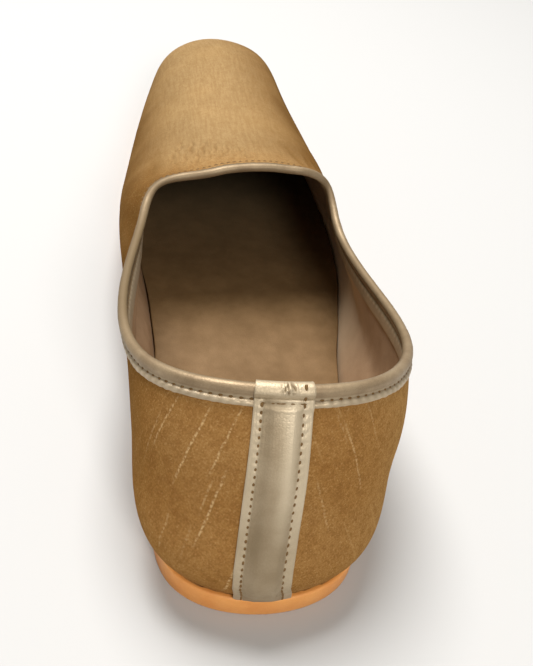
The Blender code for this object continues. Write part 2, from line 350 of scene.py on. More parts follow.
def wire(tree, node, wires):
    """Sets a node's inputs, by name or number, to values or to other nodes' outputs."""
    for key, value in wires.items():
        if isinstance(value, bpy.types.NodeSocket):
            tree.links.new(value, node.inputs[key])
        else:
            node.inputs[key].default_value = value


def add(tree, kind, wires=None, **settings):
    """Adds a node with its settings and wires it."""
    made = tree.nodes.new(kind)
    for key, value in settings.items():
        setattr(made, key, value)
    wire(tree, made, wires or {})
    return made


def new_group(name, inputs, outputs):
    """An empty shader group with its sockets. Gives the tree, its inputs and its output node."""
    tree = bpy.data.node_groups.new(name, "ShaderNodeTree")
    for label, kind, value in inputs:
        made = tree.interface.new_socket(name=label, in_out="INPUT", socket_type=kind)
        if value is not None:
            made.default_value = value
    for label, kind in outputs:
        tree.interface.new_socket(name=label, in_out="OUTPUT", socket_type=kind)
    return tree, add(tree, "NodeGroupInput").outputs, add(tree, "NodeGroupOutput")


def use_group(tree, group, wires):
    """Places a group in a tree and gives its outputs."""
    return add(tree, "ShaderNodeGroup", wires, node_tree=group).outputs


def new_finish(name):
    """A material, its tree and its shader."""
    material = bpy.data.materials.new(name)
    material.use_nodes = True
    tree = material.node_tree
    return material, tree, tree.nodes["Principled BSDF"]


# %% Helpers for sums of numbers and of vectors
def calc(tree, operation, *values, clamp=False):
    """One sum of up to three values."""
    wires = dict(enumerate(values))
    return add(tree, "ShaderNodeMath", wires, operation=operation, use_clamp=clamp).outputs[0]


def times(tree, *values):
    """The product of two or more values."""
    product = values[0]
    for value in values[1:]:
        product = calc(tree, "MULTIPLY", product, value)
    return product


def rest(tree, value):
    """What a value leaves of 1."""
    return calc(tree, "SUBTRACT", 1.0, value)


def span(tree, value, low, high, to_low=0.0, to_high=1.0):
    """Smooth step of a value from low to high."""
    wires = {"Value": value, "From Min": low, "From Max": high, "To Min": to_low, "To Max": to_high}
    return add(tree, "ShaderNodeMapRange", wires, interpolation_type="SMOOTHSTEP").outputs["Result"]


def choose(tree, share, one, two):
    """A number between two others: one at share 0, two at share 1."""
    return add(tree, "ShaderNodeMix", {0: share, 2: one, 3: two}, data_type="FLOAT").outputs[0]


def blend(tree, share, one, two):
    """A colour between two others: one at share 0, two at share 1."""
    return add(tree, "ShaderNodeMix", {0: share, 6: one, 7: two}, data_type="RGBA").outputs[2]


def vector(tree, operation, one, two, output="Vector"):
    """One sum of two vectors."""
    made = add(tree, "ShaderNodeVectorMath", {0: one, 1: two}, operation=operation)
    return made.outputs[output]


def parts_of(tree, whole):
    """The parts X, Y and Z of a vector."""
    return add(tree, "ShaderNodeSeparateXYZ", {"Vector": whole}).outputs


def from_parts(tree, **parts):
    """A vector from its parts X, Y and Z."""
    return add(tree, "ShaderNodeCombineXYZ", parts).outputs[0]


# %% Helpers for patterns and relief
def stretch(tree, whole, scale, turn=0.0):
    """A vector scaled, and turned about Z, so that a pattern runs longer one way."""
    wires = {"Vector": whole, "Rotation": (0.0, 0.0, turn), "Scale": scale}
    return add(tree, "ShaderNodeMapping", wires, vector_type="POINT").outputs["Vector"]


def cloud(tree, whole, scale, detail=2.0, roughness=0.5, output="Fac"):
    """Soft random values about 0.5."""
    wires = {"Vector": whole, "Scale": scale, "Detail": detail, "Roughness": roughness}
    return add(tree, "ShaderNodeTexNoise", wires).outputs[output]


def noted(tree, name):
    """A number that the mesh keeps for each of its points."""
    return add(tree, "ShaderNodeAttribute", attribute_name=name).outputs["Fac"]


def bumps(tree, height, distance, under=None):
    """A normal from a height that runs from 0 to 1 over a distance in metres."""
    wires = {"Height": height, "Distance": distance, "Strength": 1.0}
    if under is not None:
        wires["Normal"] = under
    return add(tree, "ShaderNodeBump", wires).outputs["Normal"]


# %% [markdown]
# ## Raw silk
# Raw silk is woven from thread that changes thickness along its length. The warp is fine and even.
# The weft has slubs, thick pale stretches that show as broken lines across the cloth. One group
# makes the plain weave, where threads pass over and under each other in turn. Another draws the
# short slubs: it cuts the cloth into narrow lanes, gives some lanes a thick thread at random and
# breaks that thread up along its length. A third draws one long slub between two given places.

# %% The weave group
WARP_PITCH = 0.00024
WEFT_PITCH = 0.00036
weave, given, result = new_group(
    "plain_weave",
    [("Vector", "NodeSocketVector", None), ("Warp Pitch", "NodeSocketFloat", WARP_PITCH),
     ("Weft Pitch", "NodeSocketFloat", WEFT_PITCH)],
    [("Height", "NodeSocketFloat"), ("Tone", "NodeSocketFloat")],
)
waver = cloud(weave, given["Vector"], 240.0, 3.0)
places = parts_of(weave, given["Vector"])
crowns, sides = [], []
for axis, pitch, sway in (("X", "Weft Pitch", 0.0005), ("Y", "Warp Pitch", 0.0004)):
    place = calc(weave, "ADD", places[axis], times(weave, waver, sway))
    wave = calc(weave, "SINE", times(weave, calc(weave, "DIVIDE", place, given[pitch]), math.pi))
    crowns.append(calc(weave, "ABSOLUTE", wave))
    sides.append(calc(weave, "SIGN", wave))
weft_over = calc(weave, "MULTIPLY_ADD", times(weave, *sides), 0.5, 0.5)
thread_height = choose(weave, weft_over, crowns[1], crowns[0])
flecks = cloud(weave, stretch(weave, given["Vector"], (2600.0, 500.0, 1.0)), 1.0, 3.0, 0.6)
streaks = cloud(weave, stretch(weave, given["Vector"], (420.0, 2600.0, 1.0)), 1.0, 3.0, 0.6)
thread_tone = choose(weave, 0.7, thread_height, choose(weave, 0.5, flecks, streaks))
wire(weave, result, {"Height": thread_height, "Tone": thread_tone})
print("weave group:", len(weave.nodes), "nodes")

# %% The group for short slubs
slubs, given, result = new_group(
    "slubs",
    [("Vector", "NodeSocketVector", None), ("Lane", "NodeSocketFloat", 0.004),
     ("Width", "NodeSocketFloat", 0.0003), ("Share", "NodeSocketFloat", 0.5),
     ("Seed", "NodeSocketFloat", 0.0)],
    [("Mask", "NodeSocketFloat")],
)
lane_places = parts_of(slubs, given["Vector"])
drift = cloud(slubs, stretch(slubs, given["Vector"], (60.0, 45.0, 1.0)), 1.0, 2.0)
across = calc(slubs, "ADD", lane_places["X"], times(slubs, drift, 0.0016))
lanes = calc(slubs, "ADD", calc(slubs, "DIVIDE", across, given["Lane"]), 500.0)
lane_key = calc(slubs, "ADD", times(slubs, calc(slubs, "FLOOR", lanes), 1.37), given["Seed"])


def by_lane(key):
    """A random value for each lane."""
    made = add(slubs, "ShaderNodeTexWhiteNoise", {"W": key}, noise_dimensions="1D")
    return made.outputs["Value"]


def down_lane(scale, seed, detail):
    """Soft random values that change along each lane."""
    spot = from_parts(slubs, X=lane_key, Y=times(slubs, lane_places["Y"], scale), Z=seed)
    return cloud(slubs, spot, 1.0, detail)


middle = calc(slubs, "MULTIPLY_ADD", by_lane(calc(slubs, "ADD", lane_key, 71.3)), 0.5, 0.25)
off = calc(slubs, "ABSOLUTE", calc(slubs, "SUBTRACT", calc(slubs, "FRACT", lanes), middle))
width = times(slubs, given["Width"],
              calc(slubs, "MULTIPLY_ADD", down_lane(420.0, 0.0, 2.0), 1.6, 0.2))
share_off = calc(slubs, "DIVIDE", times(slubs, off, given["Lane"]), width)
line = rest(slubs, span(slubs, share_off, 0.4, 1.0))
held = span(slubs, down_lane(60.0, 3.0, 1.0), 0.40, 0.58)
unbroken = span(slubs, down_lane(700.0, 9.0, 2.0), 0.36, 0.56)
chosen = calc(slubs, "LESS_THAN", by_lane(lane_key), given["Share"])
wire(slubs, result, {"Mask": times(slubs, line, held, unbroken, chosen)})
print("slub group:", len(slubs.nodes), "nodes")

# %% The group for one long slub
long_thread, given, result = new_group(
    "slub_line",
    [("Vector", "NodeSocketVector", None), ("Start", "NodeSocketVector", None),
     ("End", "NodeSocketVector", None), ("Width", "NodeSocketFloat", 0.0003)],
    [("Mask", "NodeSocketFloat")],
)
sway = cloud(long_thread, given["Vector"], 170.0, output="Color")
sway = vector(long_thread, "MULTIPLY", vector(long_thread, "SUBTRACT", sway, (0.5, 0.5, 0.5)),
              (0.0009, 0.0009, 0.0))
gone = vector(long_thread, "SUBTRACT", vector(long_thread, "ADD", given["Vector"], sway),
              given["Start"])
reach = vector(long_thread, "SUBTRACT", given["End"], given["Start"])
share = calc(long_thread, "DIVIDE", vector(long_thread, "DOT_PRODUCT", gone, reach, "Value"),
             vector(long_thread, "DOT_PRODUCT", reach, reach, "Value"), clamp=True)
nearest = add(long_thread, "ShaderNodeVectorMath", {0: reach, "Scale": share}, operation="SCALE")
gap = vector(long_thread, "DISTANCE", gone, nearest.outputs["Vector"], "Value")
thick = cloud(long_thread, given["Vector"], 800.0)
width = times(long_thread, given["Width"], calc(long_thread, "MULTIPLY_ADD", thick, 2.0, 0.1))
line = rest(long_thread, span(long_thread, calc(long_thread, "DIVIDE", gap, width), 0.3, 1.0))
dotted = span(long_thread, cloud(long_thread, given["Vector"], 1200.0), 0.42, 0.58, 0.10, 1.0)
tapered = times(long_thread, span(long_thread, share, 0.0, 0.25),
                rest(long_thread, span(long_thread, share, 0.7, 1.0)))
wire(long_thread, result, {"Mask": times(long_thread, line, dotted, tapered)})
print("long slub group:", len(long_thread.nodes), "nodes")

# %% [markdown]
# ## Leather grain
# Leather is skin: small raised pebbles with fine creases between them, and broader soft changes of
# tone where it was stretched or handled. Cell noise gives the creases, and soft noise the rest.

# %% The grain group
grain, given, result = new_group(
    "leather_grain",
    [("Vector", "NodeSocketVector", None), ("Pebbles", "NodeSocketFloat", 1400.0)],
    [("Height", "NodeSocketFloat"), ("Tone", "NodeSocketFloat")],
)
sway = vector(grain, "MULTIPLY", cloud(grain, given["Vector"], 500.0, output="Color"),
              (0.0008, 0.0008, 0.0008))
cells = add(grain, "ShaderNodeTexVoronoi", {
    "Vector": vector(grain, "ADD", given["Vector"], sway), "Scale": given["Pebbles"],
}, feature="DISTANCE_TO_EDGE").outputs["Distance"]
pebble = span(grain, cells, 0.0, 0.22)
fine = cloud(grain, given["Vector"], 3600.0, 3.0, 0.6)
broad = cloud(grain, given["Vector"], 130.0, 4.0, 0.55)
wire(grain, result, {"Height": choose(grain, 0.35, pebble, fine),
                     "Tone": choose(grain, 0.25, broad, fine)})
print("grain group:", len(grain.nodes), "nodes")

# %% [markdown]
# ## The silk's finish
# The cloth lies lengthwise on the vamp and turns with the pattern's legs on the quarters, so each
# region has its own cloth coordinates and the finish mixes between them by a mask that the mesh
# The cloth lies lengthwise on the vamp and turns with the pattern's legs on the quarters, so each
# region has its own cloth coordinates and the finish mixes between them by a mask that the mesh
# carries. The vamp is smoother, and its paler, greyer colour is a painted sheen on the top of the
# shoe, where the lamp falls. The quarters are browner, with pale and dark flecks between the threads
# and a few long pale slubs, which are listed one by one. The mesh also notes the painted shade down
# both flanks and in the creases. On the inner side, close to the throat, the cloth is crimped by the
# binding and carries a painted highlight on its ridges, and low on the heel it has picked up a little
# dirt. The outer side of the heel carries a painted light. The colour is laid on in layers, each with
# its own mask.

# %% Long slubs on the quarters, listed one by one
SLUBS = [
    # round from the heel in metres, share up the wall,  to the same two,  how strong
    (-0.0301, 0.86, -0.0336, 0.48, 0.45),
    (-0.0264, 0.95, -0.0305, 0.62, 0.70),
    (-0.0170, 0.95, -0.0226, 0.50, 1.00),
    (-0.0098, 0.96, -0.0150, 0.60, 0.80),
    (-0.0106, 0.70, -0.0158, 0.26, 0.90),
    (-0.0132, 0.64, -0.0156, 0.42, 0.45),
    (-0.0064, 0.30, -0.0096, 0.02, 0.85),
    (-0.0220, 0.42, -0.0236, 0.16, 0.40),
    (-0.0166, 0.40, -0.0178, 0.20, 0.30),
    (0.0136, 0.90, 0.0204, 0.48, 0.55),
    (0.0070, 0.66, 0.0120, 0.36, 0.50),
    (0.0212, 0.95, 0.0236, 0.74, 0.35),
    (0.0112, 0.96, 0.0150, 0.75, 0.30),
]


def metres_up(around_place, share):
    """Distance up the wall's surface at one place round it."""
    v = np.linspace(0.0, share, 60)[:, None]
    line = surface(np.array([around_place]), v)[:, 0]
    return float(np.linalg.norm(np.diff(line, axis=0), axis=1).sum())


print(len(SLUBS), "long slubs")

# %% Colours of the silk
SILK = tint(168, 123, 69)
SILK_DEEP = tint(128, 87, 43)
SILK_PALE = tint(210, 172, 116)
SILK_BRIGHT = tint(228, 196, 144)
# SILK_PAINTED_SHADE is a painted shade, laid down the flanks and in the creases
SILK_PAINTED_SHADE = tint(104, 71, 32)
# the vamp's paler, greyer tones are a painted sheen on the top of the shoe, which faces the lamp
VAMP_SHEEN = tint(176, 148, 106)
VAMP_SHEEN_DEEP = tint(148, 118, 79)
DIRT = tint(74, 48, 26)
print("the quarters' silk in linear numbers:", [round(x, 2) for x in SILK[:3]])


# %% The woven cloth of the vamp and the quarters
def woven(tree, cloth, seed, share):
    """Weave and short slubs of one region of cloth: tone, height and slub mask."""
    threads = use_group(tree, weave, {"Vector": cloth})
    thick = use_group(tree, slubs, {"Vector": cloth, "Lane": 0.0052, "Width": 0.00036,
                                    "Share": share, "Seed": seed})
    hair = use_group(tree, slubs, {"Vector": cloth, "Lane": 0.0021, "Width": 0.00016,
                                   "Share": 0.75 * share, "Seed": seed + 40.0})
    mask = calc(tree, "MAXIMUM", thick["Mask"], times(tree, hair["Mask"], 0.45))
    return threads["Tone"], threads["Height"], mask


silk, tree, shader = new_finish("golden_silk")
here = add(tree, "ShaderNodeTexCoord").outputs["Object"]
is_quarter = noted(tree, "quarter")
is_vamp = rest(tree, is_quarter)
vamp_cloth = from_parts(tree, X=noted(tree, "lengthwise"), Y=noted(tree, "crosswise"))
quarter_cloth = add(tree, "ShaderNodeUVMap", uv_map="Cloth").outputs["UV"]
tone, height, slub = [
    choose(tree, is_quarter, on_vamp, on_quarter) for on_vamp, on_quarter in zip(
        woven(tree, vamp_cloth, seed=11.0, share=0.16),
        woven(tree, quarter_cloth, seed=5.0, share=0.30))]
print("woven cloth:", len(tree.nodes), "nodes")

# %% The long slubs
LONG_SLUB_WIDTH = 0.00034
round_heel, rise_up = noted(tree, "round"), noted(tree, "rise")
on_wall = from_parts(tree, X=round_heel, Y=rise_up)
long_slub = 0.0
for start, start_up, end, end_up, strong in SLUBS:
    drawn = use_group(tree, long_thread, {
        "Vector": on_wall, "Width": LONG_SLUB_WIDTH,
        "Start": (start, metres_up(start, start_up), 0.0),
        "End": (end, metres_up(end, end_up), 0.0)})["Mask"]
    long_slub = calc(tree, "MAXIMUM", long_slub, times(tree, drawn, strong))
print("with long slubs:", len(tree.nodes), "nodes")

# %% Crimp ahead of the throat, and flecks
drop_down = noted(tree, "drop")
sideways = parts_of(tree, here)["X"]
near_throat = times(tree, span(tree, drop_down, 0.0035, 0.0075),
                    rest(tree, span(tree, drop_down, 0.012, 0.026)))
inner_part = times(tree, span(tree, sideways, -0.030, -0.022),
                   rest(tree, span(tree, sideways, -0.004, 0.016)))
crimp = cloud(tree, stretch(tree, vamp_cloth, (210.0, 620.0, 1.0), 0.25), 1.0, 2.5, 0.55)
crimp = times(tree, crimp, near_throat, is_vamp, inner_part)
flecks = cloud(tree, here, 1900.0, 3.0, 0.65)
coarse = calc(tree, "MULTIPLY_ADD", is_quarter, 0.62, 0.38)  # 0.38 on the vamp, 1 on the quarters
print("with crimp and flecks:", len(tree.nodes), "nodes")

# %% The silk's colour in layers
shade = noted(tree, "shade")
streaks = cloud(tree, stretch(tree, vamp_cloth, (90.0, 900.0, 1.0)), 1.0, 3.0, 0.6)
dull_patches = span(tree, cloud(tree, here, 30.0, 3.0, 0.5), 0.45, 0.70, 0.0, 0.16)
pale_patches = span(tree, cloud(tree, here, 34.0, 3.0, 0.5), 0.35, 0.75)
spots = span(tree, cloud(tree, here, 380.0, 3.0, 0.6), 0.42, 0.64, 0.0, 0.36)
dark_fleck = calc(tree, "SUBTRACT", 0.5, span(tree, flecks, 0.34, 0.50, 0.0, 0.5))
pale_fleck = span(tree, flecks, 0.53, 0.70, 0.0, 0.34)
# painted light on the outer side of the heel
lit_outer_heel = span(tree, sideways, 0.016, 0.037, 0.0, 0.34)
above_sole = rest(tree, span(tree, rise_up, 0.0, 0.0045))
smudges = span(tree, cloud(tree, here, 160.0, 3.0), 0.42, 0.62)
smear = times(tree, span(tree, round_heel, -0.052, -0.040),
              rest(tree, span(tree, round_heel, -0.030, -0.016)))
dirty = calc(tree, "MULTIPLY_ADD", smear, 0.6, 0.3)
color = blend(tree, span(tree, tone, 0.30, 0.66),
              blend(tree, is_quarter, VAMP_SHEEN_DEEP, SILK_DEEP), blend(tree, is_quarter, VAMP_SHEEN, SILK))
for mask, over in (
    # darker streaks along the vamp's threads, painted shade down the flanks, painted light on the
    # outer side of the heel, dull patches, painted shade in the creases and a painted highlight on the
    # crimp
    (times(tree, is_vamp, span(tree, streaks, 0.36, 0.64, 0.0, 0.55)), VAMP_SHEEN_DEEP),
    (shade, SILK_PAINTED_SHADE),
    (times(tree, lit_outer_heel, is_quarter), SILK_PALE),
    (times(tree, dull_patches, is_vamp), VAMP_SHEEN_DEEP),
    (times(tree, noted(tree, "crease_shade"), 0.58), SILK_PAINTED_SHADE),
    # painted highlight on the ridges of the crimp
    (span(tree, crimp, 0.50, 0.64, 0.0, 0.34), SILK_PALE),
    # soft patches, and the flecks between the threads
    (times(tree, pale_patches, 0.16), SILK_PALE),
    (times(tree, coarse, dark_fleck), SILK_DEEP),
    (times(tree, spots, coarse), SILK_DEEP),
    (times(tree, coarse, pale_fleck), SILK_PALE),
    # short slubs, long slubs, and dirt above the sole
    (times(tree, slub, 0.22), SILK_PALE),
    (times(tree, long_slub, 0.66), SILK_BRIGHT),
    (times(tree, above_sole, smudges, dirty), DIRT),
):
    color = blend(tree, mask, color, over)
print("with its colour:", len(tree.nodes), "nodes")

# %% The silk's relief and shine
normal = None
# what stands up from the cloth, and by how many metres
for relief, depth in ((height, 0.00006), (times(tree, flecks, coarse), 0.00012),
                      (crimp, 0.00130), (long_slub, 0.00010)):
    normal = bumps(tree, relief, depth, normal)
plain_rough = span(tree, tone, 0.25, 0.7, 0.44, 0.36)
wire(tree, shader, {
    "Base Color": color, "Normal": normal,
    "Roughness": calc(tree, "MULTIPLY_ADD", is_quarter, 0.08, plain_rough),
    "Metallic": calc(tree, "MULTIPLY_ADD", shade, -0.17, 0.20),
    "Specular IOR Level": 0.0, "Specular Tint": (1.0, 0.74, 0.42, 1.0),
})
print("silk finish:", len(tree.nodes), "nodes")

# %% [markdown]
# ## Bronze leather and plain leather
# The trim is thin leather with a pale metallic surface and a satin gloss. It is part metal and part
# leather, so the shader's Metallic value lies between the two. Every leather has two tones of its
# own, mixed by the grain, and two more for places that the mesh notes: a pale one, which is painted
# highlight and painted light, with some rubbing, on ridges, edges and faces that the lamps catch,
# and a dark one, which is painted shade in grooves, corners, sides and hollows, where the leather is
# also made rougher and less metallic. The lining and the insole are matt, and the insole gets darker
# towards the toe, a painted shade. The sole is thick tan leather, with painted shade on its top face
# where the upper meets it.

# %% Colours of the leathers
BRONZE, BRONZE_LOW = tint(184, 166, 138), tint(158, 139, 110)
BEAD, BEAD_LOW = tint(172, 151, 121), tint(138, 117, 90)
# the pale tones of the bronze and the lining are painted highlight and painted light, and the dark
# tones of the bronze, the insole and the sole's top are painted shade
BRONZE_RUBBED_LIT, BRONZE_WORN_SHADE = tint(226, 210, 182), tint(114, 95, 66)
LINING, LINING_LOW, LINING_LIT = tint(180, 149, 118), tint(164, 133, 103), tint(214, 192, 162)
FOOTBED, FOOTBED_LOW, FOOTBED_SHADE = tint(134, 105, 70), tint(116, 89, 56), tint(50, 50, 40)
TAN, TAN_LOW, SOLE_TOP_SHADE = tint(240, 168, 92), tint(228, 150, 76), tint(58, 38, 22)
print("the sole's tan in linear numbers:", [round(x, 2) for x in TAN[:3]])


# %% The leathers
def leather(name, pale, low, rubbed_lit_tone, dull_shade_tone, roughness, metallic, pebbles, depth, gloss):
    """Grained leather in two tones, and two more: painted light for the places noted as rubbed and
    lit, and painted shade for those noted as dull and shaded.
    """
    material, tree, shader = new_finish(name)
    here = add(tree, "ShaderNodeTexCoord").outputs["Object"]
    skin = use_group(tree, grain, {"Vector": here, "Pebbles": pebbles})
    dull_and_shade = noted(tree, "dull_and_shade")
    creases = rest(tree, span(tree, skin["Height"], 0.15, 0.55))
    color = blend(tree, span(tree, skin["Tone"], 0.30, 0.70), low, pale)
    color = blend(tree, times(tree, creases, 0.2), color, low)
    color = blend(tree, noted(tree, "rubbed_and_lit"), color, rubbed_lit_tone)
    color = blend(tree, dull_and_shade, color, dull_shade_tone)
    rough = span(tree, skin["Tone"], 0.3, 0.7, roughness + 0.06, roughness - 0.05)
    wire(tree, shader, {
        "Base Color": color, "Roughness": calc(tree, "MULTIPLY_ADD", dull_and_shade, 0.22, rough),
        "Metallic": calc(tree, "MULTIPLY_ADD", dull_and_shade, -0.8 * metallic, metallic),
        "Specular IOR Level": gloss, "Normal": bumps(tree, skin["Height"], depth),
    })
    return material


LEATHERS = {
    # name, its four tones: pale, low, rubbed with painted light, dull with painted shade
    # then roughness, metallic, pebbles in a metre, depth of the grain in metres, gloss
    "binding_leather": (BEAD, BEAD_LOW, BRONZE_RUBBED_LIT, BRONZE_WORN_SHADE,
                        0.47, 0.52, 1100.0, 0.000025, 0.5),
    "strip_leather": (BRONZE, BRONZE_LOW, BRONZE_RUBBED_LIT, BRONZE_WORN_SHADE,
                      0.50, 0.45, 1100.0, 0.00004, 0.5),
    "lining_leather": (LINING, LINING_LOW, LINING_LIT, LINING_LOW,
                       0.72, 0.0, 1300.0, 0.00003, 0.1),
    "footbed_leather": (FOOTBED, FOOTBED_LOW, FOOTBED, FOOTBED_SHADE,
                        0.55, 0.0, 1200.0, 0.00003, 0.2),
    "sole_leather": (TAN, TAN_LOW, TAN, SOLE_TOP_SHADE, 0.50, 0.0, 900.0, 0.00003, 0.5),
}
leathers = {name: leather(name, *values) for name, values in LEATHERS.items()}
print("leathers:", ", ".join(leathers))

# %% Sewing thread
thread, tree, shader = new_finish("thread")
here = add(tree, "ShaderNodeTexCoord").outputs["Object"]
fibres = cloud(tree, here, 5200.0)
wire(tree, shader, {
    "Base Color": blend(tree, fibres, tint(86, 60, 26), tint(130, 96, 46)),
    "Roughness": 0.7, "Normal": bumps(tree, fibres, 0.00005),
})
print("thread finish:", len(tree.nodes), "nodes")

# %% [markdown]
# ## The silk upper
# The cloth is pulled over the last while it is damp, so it is smooth over the toe and shows soft
# troughs only where it was drawn together: at the corners of the throat, on the vamp and beside the
# heel. Each trough is listed between two folds, with its width and depth, as a dent pressed along a
# line on the surface. Short puckers run ahead of the throat on the inner side, where the binding
# gathers the cloth.

# %% Soft troughs in the silk
CREASES = [
    # from fold, share up,  to fold, share up,   width,   depth
    ("corner_outer", 0.93, "fore_outer", 0.74, 0.0016, -0.00036),
    ("ball_outer", 0.95, "fore_outer", 0.78, 0.0015, -0.00030),
    ("ball_outer", 0.97, "toe_outer", 0.84, 0.0013, -0.00026),
    ("corner_outer", 0.84, "ball_outer", 0.62, 0.0022, -0.00036),
    ("corner_inner", 0.94, "ball_inner", 0.66, 0.0030, -0.00030),
    ("corner_inner", 0.88, "corner_inner", 0.45, 0.0040, -0.00035),
    ("ball_inner", 0.90, "toe_inner", 0.60, 0.0060, -0.00045),
    ("fore_outer", 0.80, "toe_outer", 0.52, 0.0070, -0.00040),
    ("waist_inner", 0.85, "corner_inner", 0.30, 0.0050, -0.00035),
    ("waist_outer", 0.80, "corner_outer", 0.35, 0.0050, -0.00030),
    ("seat_inner", 0.55, "quarter_inner", 0.20, 0.0060, -0.00030),
    ("heel_outer", 0.60, "seat_outer", 0.25, 0.0070, -0.00030),
]

LINE_STEPS = 16


def fold_place(name):
    return PLACES[NAMES.index(name)]


def pressed(points, creases):
    """How far out each point moves, for creases pressed along lines on the upper."""
    moved = np.zeros(points.shape[:2])
    t = np.linspace(0.0, 1.0, LINE_STEPS + 1)
    each = np.arange(LINE_STEPS + 1)
    for start, start_up, end, end_up, width, depth in creases:
        u = fold_place(start) + (fold_place(end) - fold_place(start)) * t
        v = start_up + (end_up - start_up) * t
        line = surface(u, np.tile(v[:, None], (1, len(u))))[each, each]
        near = np.full(points.shape[:2], 1.0)
        share = np.zeros(points.shape[:2])
        for i in range(LINE_STEPS):
            step = line[i + 1] - line[i]
            along = np.clip(((points - line[i]) @ step) / (step @ step), 0.0, 1.0)
            gap = np.linalg.norm(points - line[i] - along[..., None] * step, axis=2)
            closer = gap < near
            near = np.where(closer, gap, near)
            share = np.where(closer, (i + along) / LINE_STEPS, share)
        moved += depth * np.exp(-(near / width) ** 2) * np.sin(np.pi * share) ** 0.7
    return moved


print(len(CREASES), "soft troughs")

# %% Short puckers ahead of the throat, on the inner side
PUCKERS = [
    # across at the throat's end,  from,  to (ahead of the heel),  width,  depth
    (-0.0262, 0.0960, 0.1140, 0.00070, -0.00022),
    (-0.0240, 0.0985, 0.1200, 0.00062, -0.00026),
    (-0.0221, 0.0925, 0.1060, 0.00062, -0.00030),
    (-0.0200, 0.0980, 0.1150, 0.00065, -0.00034),
    (-0.0180, 0.0915, 0.1040, 0.00060, -0.00034),
    (-0.0160, 0.0950, 0.1120, 0.00064, -0.00034),
    (-0.0141, 0.0900, 0.1030, 0.00058, -0.00032),
    (-0.0119, 0.0950, 0.1100, 0.00062, -0.00032),
    (-0.0100, 0.0900, 0.1020, 0.00058, -0.00030),
    (-0.0079, 0.0935, 0.1080, 0.00062, -0.00028),
    (-0.0057, 0.0895, 0.1000, 0.00056, -0.00022),
    (-0.0034, 0.0930, 0.1050, 0.00060, -0.00018),
    (-0.0008, 0.0900, 0.1010, 0.00060, -0.00012),
]

PUCKER_SLANT = 0.11  # metres sideways for each metre ahead
PUCKER_SWAY = 0.0004
PUCKER_RIM = 0.45  # height of the ridges beside a pucker, as a share of its depth


def puckered(points):
    """How far out each point of the vamp moves for its puckers."""
    moved = np.zeros(points.shape[:2])
    x, y = points[..., 0], points[..., 1]
    on_top = ease(0.040, 0.048, points[..., 2])
    for across, start, end, width, depth in PUCKERS:
        sway = PUCKER_SWAY * np.sin((y - start) * 900.0 + across * 3000.0)
        off = (x - across - PUCKER_SLANT * (y - start) - sway) / width
        fade = np.sin(np.pi * np.clip((y - start) / (end - start), 0.0, 1.0)) * on_top
        moved += depth * np.exp(-off ** 2) * fade
        moved -= PUCKER_RIM * depth * np.exp(-(np.abs(off) - 1.8) ** 2) * fade
    return moved


print(len(PUCKERS), "short puckers")

# %% The points of the silk
SILK_COLUMNS = 520
SILK_ROWS = 150
SILK_THICKNESS = 0.0006
t = np.linspace(0.0, 1.0, SILK_ROWS)
silk_v = (t - 0.5 * np.sin(2.0 * np.pi * t) / (2.0 * np.pi))[:, None]  # closest at both edges
silk_u = np.arange(SILK_COLUMNS) * AROUND / SILK_COLUMNS
smooth = shell(silk_u, silk_v, 0.0)
puckers = puckered(smooth)
dents = pressed(smooth, CREASES) + puckers
dents = dents * ease(0.0, 0.06, silk_v) * (1.0 - ease(0.97, 1.0, silk_v))
silk_front = seat(shell(silk_u, silk_v, dents))
silk_back = seat(shell(silk_u, silk_v[::6], -SILK_THICKNESS))
print("deepest dent in the silk:", round(-1000.0 * dents.min(), 2), "mm")

# %% Cloth coordinates of the quarters
PATTERN_TURN = math.radians(22.0)
OTHER_SIDE = 0.5  # keeps the pattern of one side from mirroring the other's
steps = np.linalg.norm(np.diff(smooth, axis=0), axis=2)
rise = np.concatenate([np.zeros((1, SILK_COLUMNS)), np.cumsum(steps, axis=0)])
middle_ring = smooth[SILK_ROWS // 3]
around = np.linalg.norm(np.roll(middle_ring, -1, axis=0) - middle_ring, axis=1)
from_heel = np.concatenate([[0.0], np.cumsum(around)[:-1]])
on_inner_side = silk_u > fold_place("tip")
from_heel = np.where(on_inner_side, around.sum() - from_heel + OTHER_SIDE, from_heel)
across_cloth = from_heel * math.cos(PATTERN_TURN) + rise * math.sin(PATTERN_TURN)
up_cloth = rise * math.cos(PATTERN_TURN) - from_heel * math.sin(PATTERN_TURN)
print("from foot to top edge:", round(1000 * rise[-1].min()), "to", round(1000 * rise[-1].max()), "mm")

# %% Distances over the vamp, from the ridge along its middle
ridge = surface(np.array([fold_place("tip")]), np.linspace(0.0, 1.0, 60)[:, None])[::-1, 0]
ridge_z = np.interp(smooth[..., 1], ridge[:, 1], np.maximum.accumulate(ridge[::-1, 2])[::-1])
ridge_x = np.interp(smooth[..., 1], ridge[:, 1], ridge[:, 0])
reach_x, reach_z = smooth[..., 0] - ridge_x, ridge_z - smooth[..., 2]
crosswise = np.sign(reach_x) * np.hypot(reach_x, reach_z)
print("the vamp's cloth reaches", round(1000.0 * crosswise.max()), "mm to the outer side")

# %% Painted shade down the flanks and in the creases, noted on the silk
quarters = 1.0 - ease(0.070, 0.110, smooth[..., 1])
inner_flank_shade = 0.86 * ease(0.016, 0.044, -crosswise) * (1.0 - 0.5 * ease(0.052, 0.080, -crosswise))
outer_flank_shade = 0.94 * ease(-0.003, 0.031, crosswise) * (1.0 - 0.6 * ease(0.036, 0.060, crosswise))
vamp_shade = np.where(crosswise < 0.0, inner_flank_shade, outer_flank_shade)
quarter_shade = 0.90 * ease(0.008, 0.034, -smooth[..., 0]) * ease(-0.036, 0.030, smooth[..., 1])
NARROW, DEEP = 0.0032, 0.00030
fine_dents = pressed(smooth, [row for row in CREASES if row[4] < NARROW]) + 0.6 * puckers

